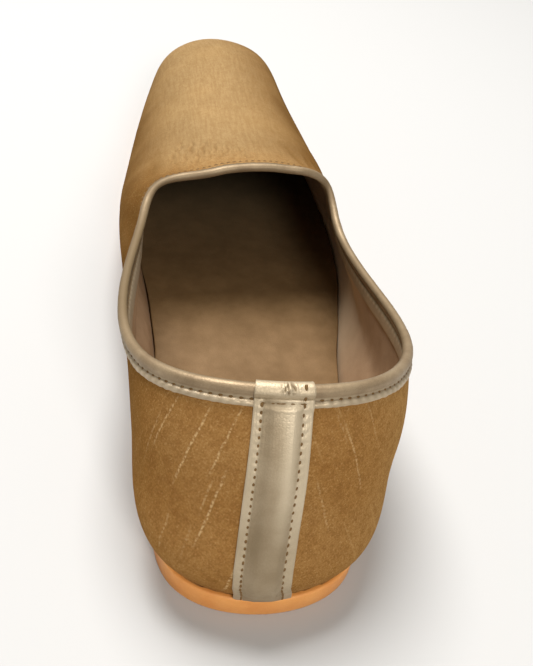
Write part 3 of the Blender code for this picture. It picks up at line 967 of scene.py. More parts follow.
upper = closed_piece("upper_silk", silk_front, silk_back, silk,
                     cloth=np.stack([across_cloth, up_cloth], axis=2))
note(upper, "lengthwise", smooth[..., 1])
note(upper, "crosswise", crosswise)
note(upper, "quarter", quarters)
note(upper, "rise", rise)
note(upper, "round", np.broadcast_to(np.where(on_inner_side, silk_u - AROUND, silk_u), rise.shape))
note(upper, "drop", rise[-1:] - rise)
note(upper, "crease_shade", np.clip(-fine_dents / DEEP, 0.0, 1.0))
note(upper, "shade", vamp_shade * (1.0 - quarters) + quarter_shade * quarters)
belongs(upper, "upper")

# %% [markdown]
# ## The lining
# Inside, thin matt leather faces the silk. It is glued only at its edges, so it stands in soft,
# shallow waves between the binding and the sole. On the outer side it carries a painted light, which
# makes it paler.

# %% The lining shell
LINING_COLUMNS, LINING_ROWS = 240, 56
LINING_TOP = 0.97
lining_u = np.arange(LINING_COLUMNS) * AROUND / LINING_COLUMNS
lining_v = np.linspace(0.0, LINING_TOP, LINING_ROWS)[:, None]
turns = 2.0 * np.pi * lining_u / AROUND
waves = 0.4 * np.sin(19.0 * turns + 0.6) + 0.35 * np.sin(31.0 * turns + 2.1)
waves = waves + 0.25 * np.sin(11.0 * turns)
slack = np.sin(np.pi * np.clip(lining_v / 0.82, 0.0, 1.0)) ** 1.5
against_silk = seat(shell(lining_u, lining_v, -SILK_THICKNESS - 0.0001))
towards_foot = seat(shell(lining_u, lining_v, -UPPER_WALL - 0.00016 * slack * (1.0 + 0.8 * waves)))
lining = closed_piece("lining", against_silk, towards_foot, leathers["lining_leather"])
places = points_of(lining)
# painted light on the outer side of the lining
note(lining, "rubbed_and_lit", ease(0.0, 0.030, places[:, 0]) * ease(0.030, 0.085, places[:, 1]))
belongs(lining, "upper")

# %% [markdown]
# ## The sole and the insole
# The sole is one flat slab of leather cut to the foot's outline, sprung up a little at the toe.
# Its cut edge is rounded by rubbing, so the slab's section is drawn as a rounded path that is
# carried round the outline. It stands out less on both sides of the heel, and has painted shade on
# top where the upper meets it, which shows in the gap by the lining. The insole is a thinner slab
# inside, slightly crowned and cut by hand, so its edge wanders a little and leaves a narrow dark gap
# to the lining. It has painted shade that grows darker towards the toe.

# %% Slabs with a rounded edge
SOLE_COLUMNS = 480
HALF = SOLE_COLUMNS // 2
EDGE_RINGS = 13
PLATE_LINES = 29
MERGE = 0.000003


def rim_line(out):
    """The sole's edge line moved out, with as many points on the outer side as on the inner."""
    tip = fold_place("tip")
    outer = np.linspace(0.0, tip, HALF + 1)
    inner = np.linspace(tip, AROUND, HALF + 1)[1:-1]
    place = np.concatenate([outer, inner])
    return foot_line(place, out(place)[:, None])


def inset_rim(rim, inset):
    """The rim moved in square to itself."""
    along = np.roll(rim, -1, axis=0) - np.roll(rim, 1, axis=0)
    side = np.stack([-along[:, 1], along[:, 0]], axis=1)
    return rim + side / np.linalg.norm(side, axis=1)[:, None] * inset


def plate(plan, height, crown, count):
    """Fills a rim with lines from the outer side to the inner, crowned in the middle."""
    outer, inner = plan[:HALF + 1], np.concatenate([plan[:1], plan[:HALF - 1:-1]])
    share = np.linspace(0.0, 1.0, count)[:, None, None]
    grid = outer + (inner - outer) * share
    gap = np.linalg.norm(inner - outer, axis=1) / 2.0
    lift = crown * np.sin(np.pi * share[..., 0]) ** 0.6 * np.clip(gap / 0.02, 0.0, 1.0)
    return np.concatenate([grid, (sole_rise(grid[..., 1]) + height + lift)[..., None]], axis=2)


def edge_rings(rim, bottom, thickness, round_by, lean):
    """Rings from the underside's rim round the edge to the top's rim."""
    rings = []
    for angle in np.linspace(-0.5 * np.pi, 0.5 * np.pi, EDGE_RINGS):
        middle = round_by if angle < 0.0 else thickness - round_by
        height = middle + round_by * math.sin(angle)
        inset = round_by * (1.0 - math.cos(angle)) - lean * height
        plan = inset_rim(rim, inset)
        rings.append(np.column_stack([plan, sole_rise(plan[:, 1]) + bottom + height]))
    return np.stack(rings)


def slab_piece(name, out, material, bottom, thickness, round_by, lean=0.0, crown=0.0):
    """A closed slab: rings round its edge, and a plate of lines across its top and underside."""
    rings = edge_rings(rim_line(out), bottom, thickness, round_by, lean)
    parts = [rings.reshape(-1, 3)]
    ids = np.arange(len(parts[0])).reshape(-1, rings.shape[1])
    faces = [grid_faces(np.concatenate([ids, ids[:, :1]], axis=1), False)]
    for ring, height, lift, flip in ((rings[-1], thickness, crown, True),
                                     (rings[0], 0.0, 0.0, False)):
        grid = plate(ring[:, :2], bottom + height, lift, PLATE_LINES)
        ids = np.arange(grid[..., 0].size).reshape(PLATE_LINES, -1)
        faces.append(grid_faces(ids + sum(len(part) for part in parts), flip))
        parts.append(grid.reshape(-1, 3))
    mesh = bpy.data.meshes.new(name)
    mesh.from_pydata(np.concatenate(parts).tolist(), [], np.concatenate(faces).tolist())
    work = bmesh.new()
    work.from_mesh(mesh)
    bmesh.ops.remove_doubles(work, verts=work.verts, dist=MERGE)
    open_edges = sum(len(edge.link_faces) != 2 for edge in work.edges)
    bmesh.ops.recalc_face_normals(work, faces=work.faces)
    work.to_mesh(mesh)
    work.free()
    print(name, "has", len(mesh.polygons), "faces and", open_edges, "open edges")
    return new_piece(name, mesh, material, SLAB_CRISP)


# %% The outsole and the insole
def sole_edge(place):
    """The sole stands out less at both sides of the heel, where the silk bulges over it."""
    place = np.where(place > 0.5 * AROUND, place - AROUND, place)
    beside_heel = np.exp(-((np.abs(place) - 0.042) / 0.016) ** 2)
    return SOLE_EDGE - np.where(place < 0.0, 0.0014, 0.0011) * beside_heel


def footbed_edge(place):
    """The footbed leaves a narrow gap to the lining, a little wider on the outer side's heel."""
    outer = ease(0.0, 0.02, place) * (1.0 - ease(0.24, 0.30, place))
    waist = np.exp(-((place - 0.118) / 0.030) ** 2)
    by_hand = 0.0002 * np.sin(110.0 * place) + 0.00012 * np.sin(263.0 * place + 1.0)
    return -0.0016 - (FOOTBED_INSET - 0.0012) * outer + 0.0006 * waist + by_hand


outsole = slab_piece("sole", sole_edge, leathers["sole_leather"],
                     bottom=0.0, thickness=SOLE_THICKNESS, round_by=0.0008)
places = points_of(outsole)
rim = foot_line(np.linspace(0.0, AROUND, 400), SOLE_EDGE)
from_rim = np.sqrt(((places[:, None, :2] - rim[None]) ** 2).sum(axis=2)).min(axis=1)
on_top_face = places[:, 2] - sole_rise(places[:, 1]) > SOLE_THICKNESS - 0.0001
# painted shade on the sole's top face, which shows in the narrow gap between the insole and the lining
note(outsole, "dull_and_shade", (from_rim > 0.0015) * on_top_face * 1.0)
belongs(outsole, "outsole")

insole = slab_piece("footbed", footbed_edge, leathers["footbed_leather"],
                    bottom=SOLE_THICKNESS + GAP, thickness=INSOLE_THICKNESS, round_by=0.0006,
                    lean=0.22, crown=0.0004)
# painted shade: the insole grows darker towards the toe, under the vamp
note(insole, "dull_and_shade", ease(0.045, 0.210, points_of(insole)[:, 1]))
belongs(insole, "insole")

# %% [markdown]
# ## The topline binding
# A strip of bronze leather is folded over the top edge with piping inside the fold, which makes a
# round bead. Below the bead, a row of stitches draws the leather in on both faces. Outside, a
# narrow flange is left, and inside, a wider band. In front of the foot the flange is turned under,
# and its row of stitches lies on the silk, just ahead of the bead. The section is a path of points
# given by how far out and how far down they lie, and it is swept round the top edge. Near each
# stitch the path is pulled in, so that the leather puffs up between stitches.

# %% Section of the binding
BACK_BEAD, SIDE_BEAD, THROAT_BEAD = 0.00166, 0.00134, 0.00138
BACK_FLANGE, SIDE_FLANGE, THROAT_FLANGE = 0.0044, 0.0038, 0.0025
BACK_ROW, SIDE_ROW, THROAT_ROW = 0.0025, 0.0022, 0.0044
THROAT_GROOVE = 0.0019
BEAD_SINK = 0.0003
STITCH_PITCH = 0.0025
INNER_STITCH_DROP = 0.0027
INNER_BAND = 0.0078
STRIP_WIDTH = 0.0153
BEAD_POINTS = 19
FLANGE_PROFILE = [
    # share of the way from the groove to the flange's edge, and millimetres out from the silk
    (1.00, 0.08), (1.00, 0.30), (0.97, 0.46), (0.90, 0.56), (0.78, 0.62), (0.64, 0.64),
    (0.50, 0.62), (0.38, 0.56), (0.28, 0.46), (0.19, 0.33), (0.11, 0.21), (0.03, 0.13),
    (-0.06, 0.10), (-0.15, 0.11),
]
BAND_PROFILE = [
    # metres down from the top edge, and millimetres in from the lining
    (0.0019, 0.24), (0.0021, 0.17), (0.0024, 0.13), (0.0027, 0.12), (0.0030, 0.17),
    (0.0034, 0.30), (0.0039, 0.40), (0.0047, 0.46), (0.0056, 0.50), (0.0065, 0.53),
    (0.0072, 0.50), (0.0075, 0.40), (INNER_BAND, 0.04),
]
FLANGE_POINTS = len(FLANGE_PROFILE)


def along_top(u, back, side, throat):
    """A size that changes along the top edge, from the back to the sides to the throat."""
    y = surface(u, np.ones((1, 1)))[0, :, 1]
    to_side = ease(-0.016, 0.022, y)
    to_throat = ease(0.058, 0.076, y)
    return back + (side - back) * to_side + (throat - side) * to_throat


def binding_path(bead, flange, groove):
    """Out and down of the binding's face by row and column: flange, groove, bead, inside band."""
    share, lift = np.array(FLANGE_PROFILE).T[..., None]
    drop, depth = np.array(BAND_PROFILE).T[..., None]
    turn = np.linspace(math.radians(-52.0), math.radians(228.0), BEAD_POINTS)[:, None]
    level = np.zeros_like(bead)
    out = np.concatenate([0.001 * lift + level, bead * np.cos(turn) - UPPER_WALL / 2.0,
                          -UPPER_WALL - 0.001 * depth + level])
    down = np.concatenate([groove + (flange - groove) * share, BEAD_SINK - bead * np.sin(turn),
                           drop + level])
    foot_of_bead = slice(FLANGE_POINTS, FLANGE_POINTS + 3)
    out[foot_of_bead] = np.maximum(out[foot_of_bead], 0.00011)
    return out, down


print("binding's bead in mm:", [2000.0 * r for r in (BACK_BEAD, SIDE_BEAD, THROAT_BEAD)])

# %% Stitch rows along the top edge
BINDING_COLUMNS, ROW_POINTS = 1000, 4000
BESIDE_STRIP = STRIP_WIDTH / 2.0 + 0.0008
binding_u = np.arange(BINDING_COLUMNS) * AROUND / BINDING_COLUMNS
row_u = np.arange(ROW_POINTS) * AROUND / ROW_POINTS


def metres_along(line):
    """Distance along a line of points, at each of them."""
    steps = np.linalg.norm(np.diff(line, axis=0), axis=1)
    return np.concatenate([[0.0], np.cumsum(steps)])


def row_on_top_edge(out, down):
    """A line of points round the top edge, stopping short of the heel strip on both sides."""
    line = from_top(row_u, np.full((1, 1), out), np.reshape(down, (1, -1)))[0]
    normal = facing(row_u, np.ones((1, 1)))[0]
    length = metres_along(line)
    keep = (length > BESIDE_STRIP) & (length < length[-1] - BESIDE_STRIP)
    return line[keep], normal[keep], row_u[keep]


row_line, row_facing, kept_u = row_on_top_edge(
    0.00016, along_top(row_u, BACK_ROW, SIDE_ROW, THROAT_ROW))
row_length = metres_along(row_line)
STITCH_COUNT = round(row_length[-1] / STITCH_PITCH)
stitch_phase = np.interp(binding_u, kept_u, row_length / row_length[-1] * STITCH_COUNT)
print("stitches round the top edge:", STITCH_COUNT + 1)

# %% Places and lumps along the binding
top_y = surface(binding_u, np.ones((1, 1)))[0, :, 1]
at_back = 1.0 - ease(-0.016, 0.022, top_y)
in_throat = ease(0.058, 0.074, top_y)
inner_corner, outer_corner = [
    np.exp(-((binding_u - fold_place(name)) / 0.013) ** 2)
    for name in ("corner_inner", "corner_outer")]
between = 0.5 - 0.5 * np.cos(2.0 * np.pi * stitch_phase)  # 0 at a stitch, 1 midway to the next
rng = np.random.default_rng(7)
lumps = np.zeros(BINDING_COLUMNS)
for waves_round in (37, 61, 97, 143, 211):
    lumps += np.sin(waves_round * 2.0 * np.pi * binding_u / AROUND + rng.uniform(0.0, 6.28)) / 5.0
print("the binding is", round(1000.0 * metres_along(row_line)[-1]), "mm long, short of the strip")

# %% The binding with its puffs and pulls
bead = along_top(binding_u, BACK_BEAD, SIDE_BEAD, THROAT_BEAD)
bead *= 1.0 - 0.24 * inner_corner - 0.16 * outer_corner
flange = along_top(binding_u, BACK_FLANGE, SIDE_FLANGE, THROAT_FLANGE)
groove = along_top(binding_u, BACK_ROW, SIDE_ROW, THROAT_GROOVE)
out, down = binding_path(bead, flange, groove)
rows = np.arange(len(out))[:, None]
on_flange = rows < FLANGE_POINTS
on_bead = ~on_flange & (rows < FLANGE_POINTS + BEAD_POINTS)
on_band = ~(on_flange | on_bead)
from_row = (down - groove) / 0.0008
puff = np.exp(-(from_row - 0.9) ** 2) * on_flange * between
pull = np.exp(-(from_row / 0.75) ** 2) * ~on_band * (1.0 - between)
raised = 1.0 - 0.75 * ease(0.056, 0.070, top_y)
out = out * np.where(on_flange, 0.35 + 0.65 * raised, 1.0)
out = out + 0.00011 * puff * raised - 0.00006 * pull * (out > 0.0001)
down = down - 0.00012 * puff
from_inner = (down - INNER_STITCH_DROP) / 0.0007
out = out - 0.00012 * np.exp(-(from_inner - 1.0) ** 2) * on_band * between
low_edge = np.exp(-((down - flange) / 0.0005) ** 2) * on_flange
down = down + low_edge * (0.00016 * lumps - 0.00012 * (1.0 - between))
out = out + 0.00004 * lumps * (on_flange * 1.0 - on_band)
wrinkles = 0.00001 * np.sin(2.0 * np.pi * stitch_phase + 1.0) + 0.00003 * lumps
out = out + wrinkles * on_bead * np.sin(np.linspace(0.0, np.pi, len(rows)))[:, None]
binding_front = from_top(binding_u, out, down)
print("rows across the binding:", len(rows))

# %% The hidden back of the binding
CORE = [
    # out in metres, then down: a share of the flange and metres more
    (0.00003, 1.00, 0.0), (0.00003, 0.55, 0.0), (0.00003, 0.0, -0.0001),
    (-UPPER_WALL - 0.00003, 0.0, -0.0001), (-UPPER_WALL - 0.00003, 0.0, 0.0024),
    (-UPPER_WALL - 0.00002, 0.0, INNER_BAND),
]
core_out, core_share, core_drop = np.array(CORE).T[..., None]
binding_back = from_top(binding_u, core_out, core_share * flange + core_drop)
binding = closed_piece("topline_binding_leather", binding_front, binding_back,
                       leathers["binding_leather"])

# %% Painted light on the binding's ridges and inner band, a paler back flange, and painted shade in its grooves, throat, sides and corners
on_ridge = on_flange * np.exp(-(from_row - 0.9) ** 2) * between
rubbed_and_lit = 0.24 * on_ridge * (1.0 - in_throat) + 0.24 * on_flange * at_back
# painted light that brightens the inner band
lit_band = 0.30 * ease(0.0029, 0.0037, down) * (down < 0.0076)
lit_band = lit_band + 0.35 * np.exp(-(from_inner - 1.1) ** 2) * between
rubbed_and_lit = rubbed_and_lit + lit_band * on_band
towards_inner = ease(fold_place("toe_inner"), fold_place("corner_inner"), binding_u)
shaded_sides = (1.0 - at_back) * (1.0 - in_throat) * (0.45 + 0.40 * towards_inner)
# the dark tone is painted shade: the throat's flange, the bead's sides and corners, and the grooves of
# both stitch rows, which are also made duller
dull_and_shade = on_flange * in_throat + 0.12 * on_bead
dull_and_shade = dull_and_shade + (shaded_sides + 0.20 * in_throat + 0.4 * inner_corner + 0.4 * outer_corner) * ~on_band
dull_and_shade = np.maximum(dull_and_shade, 0.6 * np.exp(-(from_row / 0.3) ** 2) * ~on_band)
dull_and_shade = np.maximum(dull_and_shade, np.exp(-((down - INNER_STITCH_DROP) / 0.0005) ** 2) * on_band)
note(binding, "rubbed_and_lit", np.clip(rubbed_and_lit, 0.0, 1.0))
note(binding, "dull_and_shade", np.clip(dull_and_shade, 0.0, 1.0))
belongs(binding, "topline_binding")
print("dull share of the binding:", round(float(np.clip(dull_and_shade, 0.0, 1.0).mean()), 2))

# %% [markdown]
# ## The heel strip
# A strip of the same leather runs from the sole up the heel seam, over the flange and the bead and
# a little way down inside. It is sewn along both sides and once across, just under the bead. The
# middle is slightly padded, so it stands up in a soft cushion between the rows. The strip leans a
# little to the inner side, and its foot stands straighter than the wall behind it. On its cap,
# where hands pull the shoe on, the leather is scuffed into a small tuft.

# %% Path of the strip from the sole over the top edge
STRIP_LEATHER = 0.00055
STRIP_LIFT = 0.0001
STRIP_TURN_IN = 0.0064
LEFT_ROW, RIGHT_ROW = 0.0021, 0.0025
CUSHION = 0.0011
LEFT_PITCH, RIGHT_PITCH, CROSS_PITCH = 0.0021, 0.0024, 0.0021
CROSS_DROP = 0.0031
STRIP_HANG = 0.72
HANG_FROM = 0.0065
UP_ROWS, BEAD_ROWS, IN_ROWS = 150, 30, 14
WALL_HEIGHT = rise[-1, 0]


def strip_path(extra):
    """Out and down of the strip's rows: up the silk, over the flange, over the bead, inside."""
    bead = BACK_BEAD + STRIP_LIFT + extra
    over = 0.00056 + STRIP_LIFT + extra
    turn = math.acos(min(0.98, (UPPER_WALL / 2.0 + over) / bead))
    angles = np.linspace(-turn - 0.20, np.pi + turn, BEAD_ROWS)
    bead_out = bead * np.cos(angles) - UPPER_WALL / 2.0
    bead_down = BEAD_SINK - bead * np.sin(angles)
    in_down = np.linspace(bead_down[-1] + 0.0004, STRIP_TURN_IN, IN_ROWS)
    in_out = np.full(IN_ROWS, -UPPER_WALL - over - 0.00002)
    t = np.linspace(0.0, 1.0, UP_ROWS)
    up_down = WALL_HEIGHT + (bead_down[0] + 0.0003 - WALL_HEIGHT) * t ** 0.9
    on_silk = STRIP_LIFT + extra
    on_flange = 1.0 - ease(BACK_FLANGE - 0.0001, BACK_FLANGE + 0.0009, up_down)
    up_out = on_silk + (over - 0.00012 - on_silk) * on_flange
    return np.concatenate([up_out, bead_out, in_out]), np.concatenate([up_down, bead_down, in_down])


def strip_columns(v, down, count):
    """Places round the upper, at one height, of evenly spaced lines across the strip."""
    foot = np.clip((down - WALL_HEIGHT) / 0.0115 + 1.0, 0.0, 1.0)
    low = ease(WALL_HEIGHT - 0.020, WALL_HEIGHT - 0.009, down)
    lean = -0.0008 - 0.0016 * (down / WALL_HEIGHT) ** 2
    middle = np.array([lean + 0.0006 * low + 0.0022 * foot])
    width = STRIP_WIDTH * (0.95 + 0.055 * ease(0.0, 0.03, down) + 0.05 * foot)
    v = np.full((1, 1), v)
    ahead = surface(middle + NUDGE, v) - surface(middle - NUDGE, v)
    half = width * NUDGE / np.linalg.norm(ahead)
    return middle + np.linspace(-half, half, count)


def down_to_share(down):
    """Share up the heel's middle fold for a distance down from the top edge."""
    fine = np.linspace(0.0, 1.0, 400)
    line = surface(np.zeros(1), fine[:, None])[:, 0]
    length = metres_along(line)
    return np.interp(length[-1] - down, length, fine)


def strip_grid(out, down, count, lift):
    """The strip's points. The lift is added to out by row and place across."""
    rows = []
    for row_out, row_down, more in zip(out, down, lift):
        share = float(down_to_share(max(row_down, 0.0)))
        u = strip_columns(share, max(row_down, 0.0), count)
        if row_down < 0.0075:
            rows.append(from_top(u, (row_out + more)[None, :], np.array([[row_down]]))[0])
        else:
            rows.append(shell(u, np.full((1, 1), share), (row_out + more)[None, :])[0])
    grid = seat(np.stack(rows))
    knee = int(np.argmin(np.abs(WALL_HEIGHT - down - HANG_FROM)))
    grid[:knee, :, :2] = grid[knee, :, :2] + STRIP_HANG * (grid[:knee, :, :2] - grid[knee, :, :2])
    return grid


print("strip's wall is", round(1000.0 * WALL_HEIGHT, 1), "mm high")

# %% The strip's cushion and the grooves of its stitches
STRIP_ACROSS = 97
out, down = strip_path(STRIP_LEATHER)
below = down[:, None]
on_wall_rows = np.arange(len(down)) < UP_ROWS
on_face = on_wall_rows[:, None] * 1.0
x = np.linspace(-1.0, 1.0, STRIP_ACROSS)
from_left, from_right = (1.0 + x) * STRIP_WIDTH / 2.0, (1.0 - x) * STRIP_WIDTH / 2.0
inner = np.clip((from_left - LEFT_ROW) / (STRIP_WIDTH - LEFT_ROW - RIGHT_ROW), 0.0, 1.0)
cushion = ease(0.0, 0.34, inner) * (1.0 - ease(0.74, 1.0, inner)) * (0.72 + 0.28 * inner)
above_foot = 0.08 + 0.92 * ease(0.0, 0.006, WALL_HEIGHT - below)
below_cross = ease(CROSS_DROP + 0.0001, CROSS_DROP + 0.0022, below)
lift = CUSHION * cushion * (below_cross * on_face * above_foot)
for row_at, place, pitch, slant in ((LEFT_ROW, from_left, LEFT_PITCH, 0.0),
                                    (RIGHT_ROW, from_right, RIGHT_PITCH, 0.25)):
    off = place - row_at
    beats = np.cos(2.0 * np.pi * ((WALL_HEIGHT - below) + slant * off) / pitch)
    trough = np.exp(-(off / 0.00042) ** 2) * (0.00013 + 0.00013 * beats)
    ridges = np.exp(-((np.abs(off) - 0.0008) / 0.00045) ** 2) * 0.00005 * (1.0 - beats)
    lift += (ridges - trough) * on_face
cross_beats = np.cos(2.0 * np.pi * x * STRIP_WIDTH / 2.0 / CROSS_PITCH)
between_rows = ((from_left > LEFT_ROW) & (from_right > RIGHT_ROW)) * 1.0
cross_trough = np.exp(-((below - CROSS_DROP) / 0.00045) ** 2) * on_face
lift -= cross_trough * (between_rows * (0.00016 + 0.00008 * cross_beats))
print("cushion and grooves in mm:", round(1000 * lift.max(), 2), round(1000 * lift.min(), 2))

# %% Thin edges, small dents and the tuft on the cap
lift -= 0.00022 * np.exp(-(np.minimum(from_left, from_right) / 0.00020) ** 2)
lift += 0.00002 * np.sin(37.0 * x + 900.0 * below) * np.sin(23.0 * x - 1300.0 * below)
on_cap = (np.arange(len(down)) >= UP_ROWS + 4)[:, None]
tuft = on_cap * np.exp(-((below + 0.0006) / 0.0013) ** 2) * np.exp(-((x - 0.13) / 0.22) ** 2)
torn = np.sin(25.0 * x + 1300.0 * below + 2.0 * np.sin(13.0 * x))
torn = torn * np.sin(17.0 * x - 1900.0 * below + 1.0)
lift += 0.00060 * tuft * np.clip(torn, -0.30, 1.0)
strip_front = strip_grid(out, down, STRIP_ACROSS, lift)
strip_back = strip_grid(*strip_path(0.0), STRIP_ACROSS, np.zeros_like(lift))
strip = closed_piece("heel_strip_leather", strip_front, strip_back, leathers["strip_leather"],
                     ring=False)

# %% Painted light and shade on the strip: painted highlight on the crest, painted light on the margins and the cap, painted shade on the cushion's left side, towards the foot, in the cross groove and in the tuft
up_share = np.clip((WALL_HEIGHT - below) / WALL_HEIGHT, 0.0, 1.0)
# painted highlight along the cushion's crest, and painted light on the margins and the cap
crest_highlight = np.exp(-((inner - 0.74) / 0.20) ** 2) * ease(0.25, 0.72, up_share)
lit_margin = (1.0 - ease(0.0, 0.06, inner) + ease(0.94, 1.0, inner)) * on_face
rubbed_and_lit = 0.60 * crest_highlight * on_face + lit_margin * 0.38 * (0.4 + 0.6 * ease(0.1, 0.6, up_share))
rubbed_and_lit += 0.3 * (1.0 - on_face) * (below < 0.001)
middle_up = ease(0.15, 0.42, up_share)
# painted shade on the left of the cushion, darker towards the foot, in the cross groove and in the
# hollows of the tuft
dull_and_shade = 0.35 * np.exp(-((inner - 0.22) / 0.22) ** 2) * on_face * middle_up
dull_and_shade += (1.0 - ease(0.0, 0.72, up_share)) * (0.42 + 0.58 * ease(0.16, 0.42, up_share))
dull_and_shade += 0.3 * cross_trough + 1.8 * tuft * ease(0.0, -0.25, torn)
note(strip, "rubbed_and_lit", np.clip(rubbed_and_lit, 0.0, 1.0))
note(strip, "dull_and_shade", np.clip(dull_and_shade * (1.0 - 0.8 * lit_margin), 0.0, 1.0))
belongs(strip, "heel_strip")
print("dull share of the strip:", round(float(np.clip(dull_and_shade, 0.0, 1.0).mean()), 2))

# %% [markdown]
# ## Stitches
# All the seams use one dark brown thread. A stitch is a short curved length of it that dips into
# the leather at both ends. Geometry Nodes set one on every point of a line: the tree bends a short
# curve into a stitch, gives it a round section and turns each copy along the seam and upright on
# the leather. The lines carry the direction that the leather faces, so no stitch tips over.

# %% The stitching tree
def stitching_tree():
    """A tree that sews a row of stitches along a line. Its sizes are inputs."""
    tree = bpy.data.node_groups.new("stitching", "GeometryNodeTree")
    for label, kind, value in (
        ("Geometry", "NodeSocketGeometry", None), ("Length", "NodeSocketFloat", 0.0014),
        ("Radius", "NodeSocketFloat", 0.00026), ("Rise", "NodeSocketFloat", 0.00020),
        ("Count", "NodeSocketInt", 10), ("Thread", "NodeSocketMaterial", None),
    ):
        made = tree.interface.new_socket(name=label, in_out="INPUT", socket_type=kind)
        if value is not None:
            made.default_value = value
    tree.interface.new_socket(name="Geometry", in_out="OUTPUT", socket_type="NodeSocketGeometry")
    given = add(tree, "NodeGroupInput").outputs
    row = add(tree, "GeometryNodeMeshToCurve", {"Mesh": given["Geometry"]}).outputs["Curve"]
    row = add(tree, "GeometryNodeResampleCurve", {"Curve": row, "Count": given["Count"]},
              mode="COUNT").outputs["Curve"]
    half, sunk = times(tree, given["Length"], 0.5), times(tree, given["Radius"], -1.4)
    arc = add(tree, "GeometryNodeCurveQuadraticBezier", {
        "Resolution": 6, "Start": from_parts(tree, X=times(tree, half, -1.0), Z=sunk),
        "Middle": from_parts(tree, Z=given["Rise"]), "End": from_parts(tree, X=half, Z=sunk)})
    section = add(tree, "GeometryNodeCurvePrimitiveCircle",
                  {"Resolution": 7, "Radius": given["Radius"]}, mode="RADIUS")
    stitch = add(tree, "GeometryNodeCurveToMesh", {
        "Curve": arc.outputs["Curve"], "Profile Curve": section.outputs["Curve"],
        "Fill Caps": True})
    tangent = add(tree, "GeometryNodeInputTangent").outputs["Tangent"]
    upright = add(tree, "GeometryNodeInputNamedAttribute", {"Name": "facing"},
                  data_type="FLOAT_VECTOR").outputs["Attribute"]
    lay = add(tree, "FunctionNodeAlignRotationToVector", {"Vector": tangent}, axis="X")
    lay = add(tree, "FunctionNodeAlignRotationToVector", {
        "Rotation": lay.outputs["Rotation"], "Vector": upright}, axis="Z", pivot_axis="X")
    uneven = add(tree, "FunctionNodeRandomValue", {
        0: (0.86, 0.88, 0.85), 1: (1.10, 1.12, 1.15), "Seed": 3}, data_type="FLOAT_VECTOR")
    sewn = add(tree, "GeometryNodeInstanceOnPoints", {
        "Points": row, "Instance": stitch.outputs["Mesh"], "Rotation": lay.outputs["Rotation"],
        "Scale": uneven.outputs[0]})
    real = add(tree, "GeometryNodeRealizeInstances", {"Geometry": sewn.outputs["Instances"]})
    colored = add(tree, "GeometryNodeSetMaterial",
                  {"Geometry": real.outputs["Geometry"], "Material": given["Thread"]})
    shaded = add(tree, "GeometryNodeSetShadeSmooth", {"Geometry": colored.outputs["Geometry"]})
    add(tree, "NodeGroupOutput", {"Geometry": shaded.outputs["Geometry"]})
    return tree


STITCHING = stitching_tree()
print("stitching tree:", len(STITCHING.nodes), "nodes")


# %% Sewing a row
def sew(name, line, normals, count, length, radius, lift):
    """Sews a row along a line of points and keeps it as a plain mesh."""
    mesh = bpy.data.meshes.new(name + "_line")
    mesh.from_pydata(line.tolist(), [(i, i + 1) for i in range(len(line) - 1)], [])
    facing_up = mesh.attributes.new("facing", "FLOAT_VECTOR", "POINT")
    facing_up.data.foreach_set("vector", normals.astype(np.float32).ravel())
    row = in_scene(name, mesh)
    modifier = row.modifiers.new("sewing", "NODES")
    modifier.node_group = STITCHING
    values = {"Length": length, "Radius": radius, "Rise": lift, "Count": count, "Thread": thread}
    for item in STITCHING.interface.items_tree:
        if item.item_type == "SOCKET" and item.in_out == "INPUT" and item.name in values:
            modifier[item.identifier] = values[item.name]
    bpy.context.view_layer.update()
    graph = bpy.context.evaluated_depsgraph_get()
    plain = bpy.data.meshes.new_from_object(row.evaluated_get(graph))
    row.modifiers.clear()
    row.data = plain
    belongs(row)
    print(name, "has", count, "stitches and", len(plain.polygons), "faces")


def stitches_for(line, pitch):
    """How many stitches fit a line at about a pitch."""
    return round(metres_along(line)[-1] / pitch) + 1


# %% Rows of stitches round the top edge
THROAT_PITCH = 0.0021
at_throat = ease(0.060, 0.070, row_line[:, 1])
back_part, front_part = np.flatnonzero(at_throat < 0.5), np.flatnonzero(at_throat >= 0.5)
split = int(np.flatnonzero(np.diff(back_part) > 1)[0]) + 1
for name, chosen, pitch, length, radius, lift in (
    # name, points of the row, pitch, then a stitch's length, radius and lift
    ("binding_stitches_outer", back_part[:split], STITCH_PITCH, 0.00115, 0.00034, 0.00012),
    ("binding_stitches_inner", back_part[split:], STITCH_PITCH, 0.00115, 0.00034, 0.00012),
    ("throat_stitches", front_part, THROAT_PITCH, 0.0011, 0.00022, 0.00008),
):
    line = row_line[chosen]
    sew(name, line, row_facing[chosen], stitches_for(line, pitch), length, radius, lift)
line, normals, _ = row_on_top_edge(-UPPER_WALL - 0.00016, INNER_STITCH_DROP)
sew("inside_stitches", line, -normals, STITCH_COUNT + 1, length=0.0009, radius=0.00024,
    lift=0.00012)

# %% Rows of stitches up the heel strip
column_left = int(np.argmin(np.abs(from_left - LEFT_ROW)))
column_right = int(np.argmin(np.abs(from_right - RIGHT_ROW)))


def strip_normals(rows, column):
    """The way the strip's leather faces at points of a column."""
    up = strip_front[rows + 1, column] - strip_front[rows - 1, column]
    over = strip_front[rows, column + 1] - strip_front[rows, column - 1]
    normal = np.cross(over, up)
    return normal / np.linalg.norm(normal, axis=1)[:, None]


above_sole_rows = down < WALL_HEIGHT - 0.0012
face_rows = np.flatnonzero(above_sole_rows & on_wall_rows)[:-4]
over_bead = np.flatnonzero(above_sole_rows & (np.arange(len(down)) < UP_ROWS + 9))
for name, column, rows_here, pitch, length, radius in (
    # name, column and rows of the strip, pitch, then a stitch's length and radius
    ("strip_stitches_left", column_left, face_rows, LEFT_PITCH, 0.00125, 0.00043),
    ("strip_stitches_right", column_right, over_bead, RIGHT_PITCH, 0.0016, 0.00042),
):
    normals = strip_normals(rows_here, column)
    line = strip_front[rows_here, column] + 0.00006 * normals
    sew(name, line, normals, stitches_for(line, pitch), length, radius, lift=0.00014)

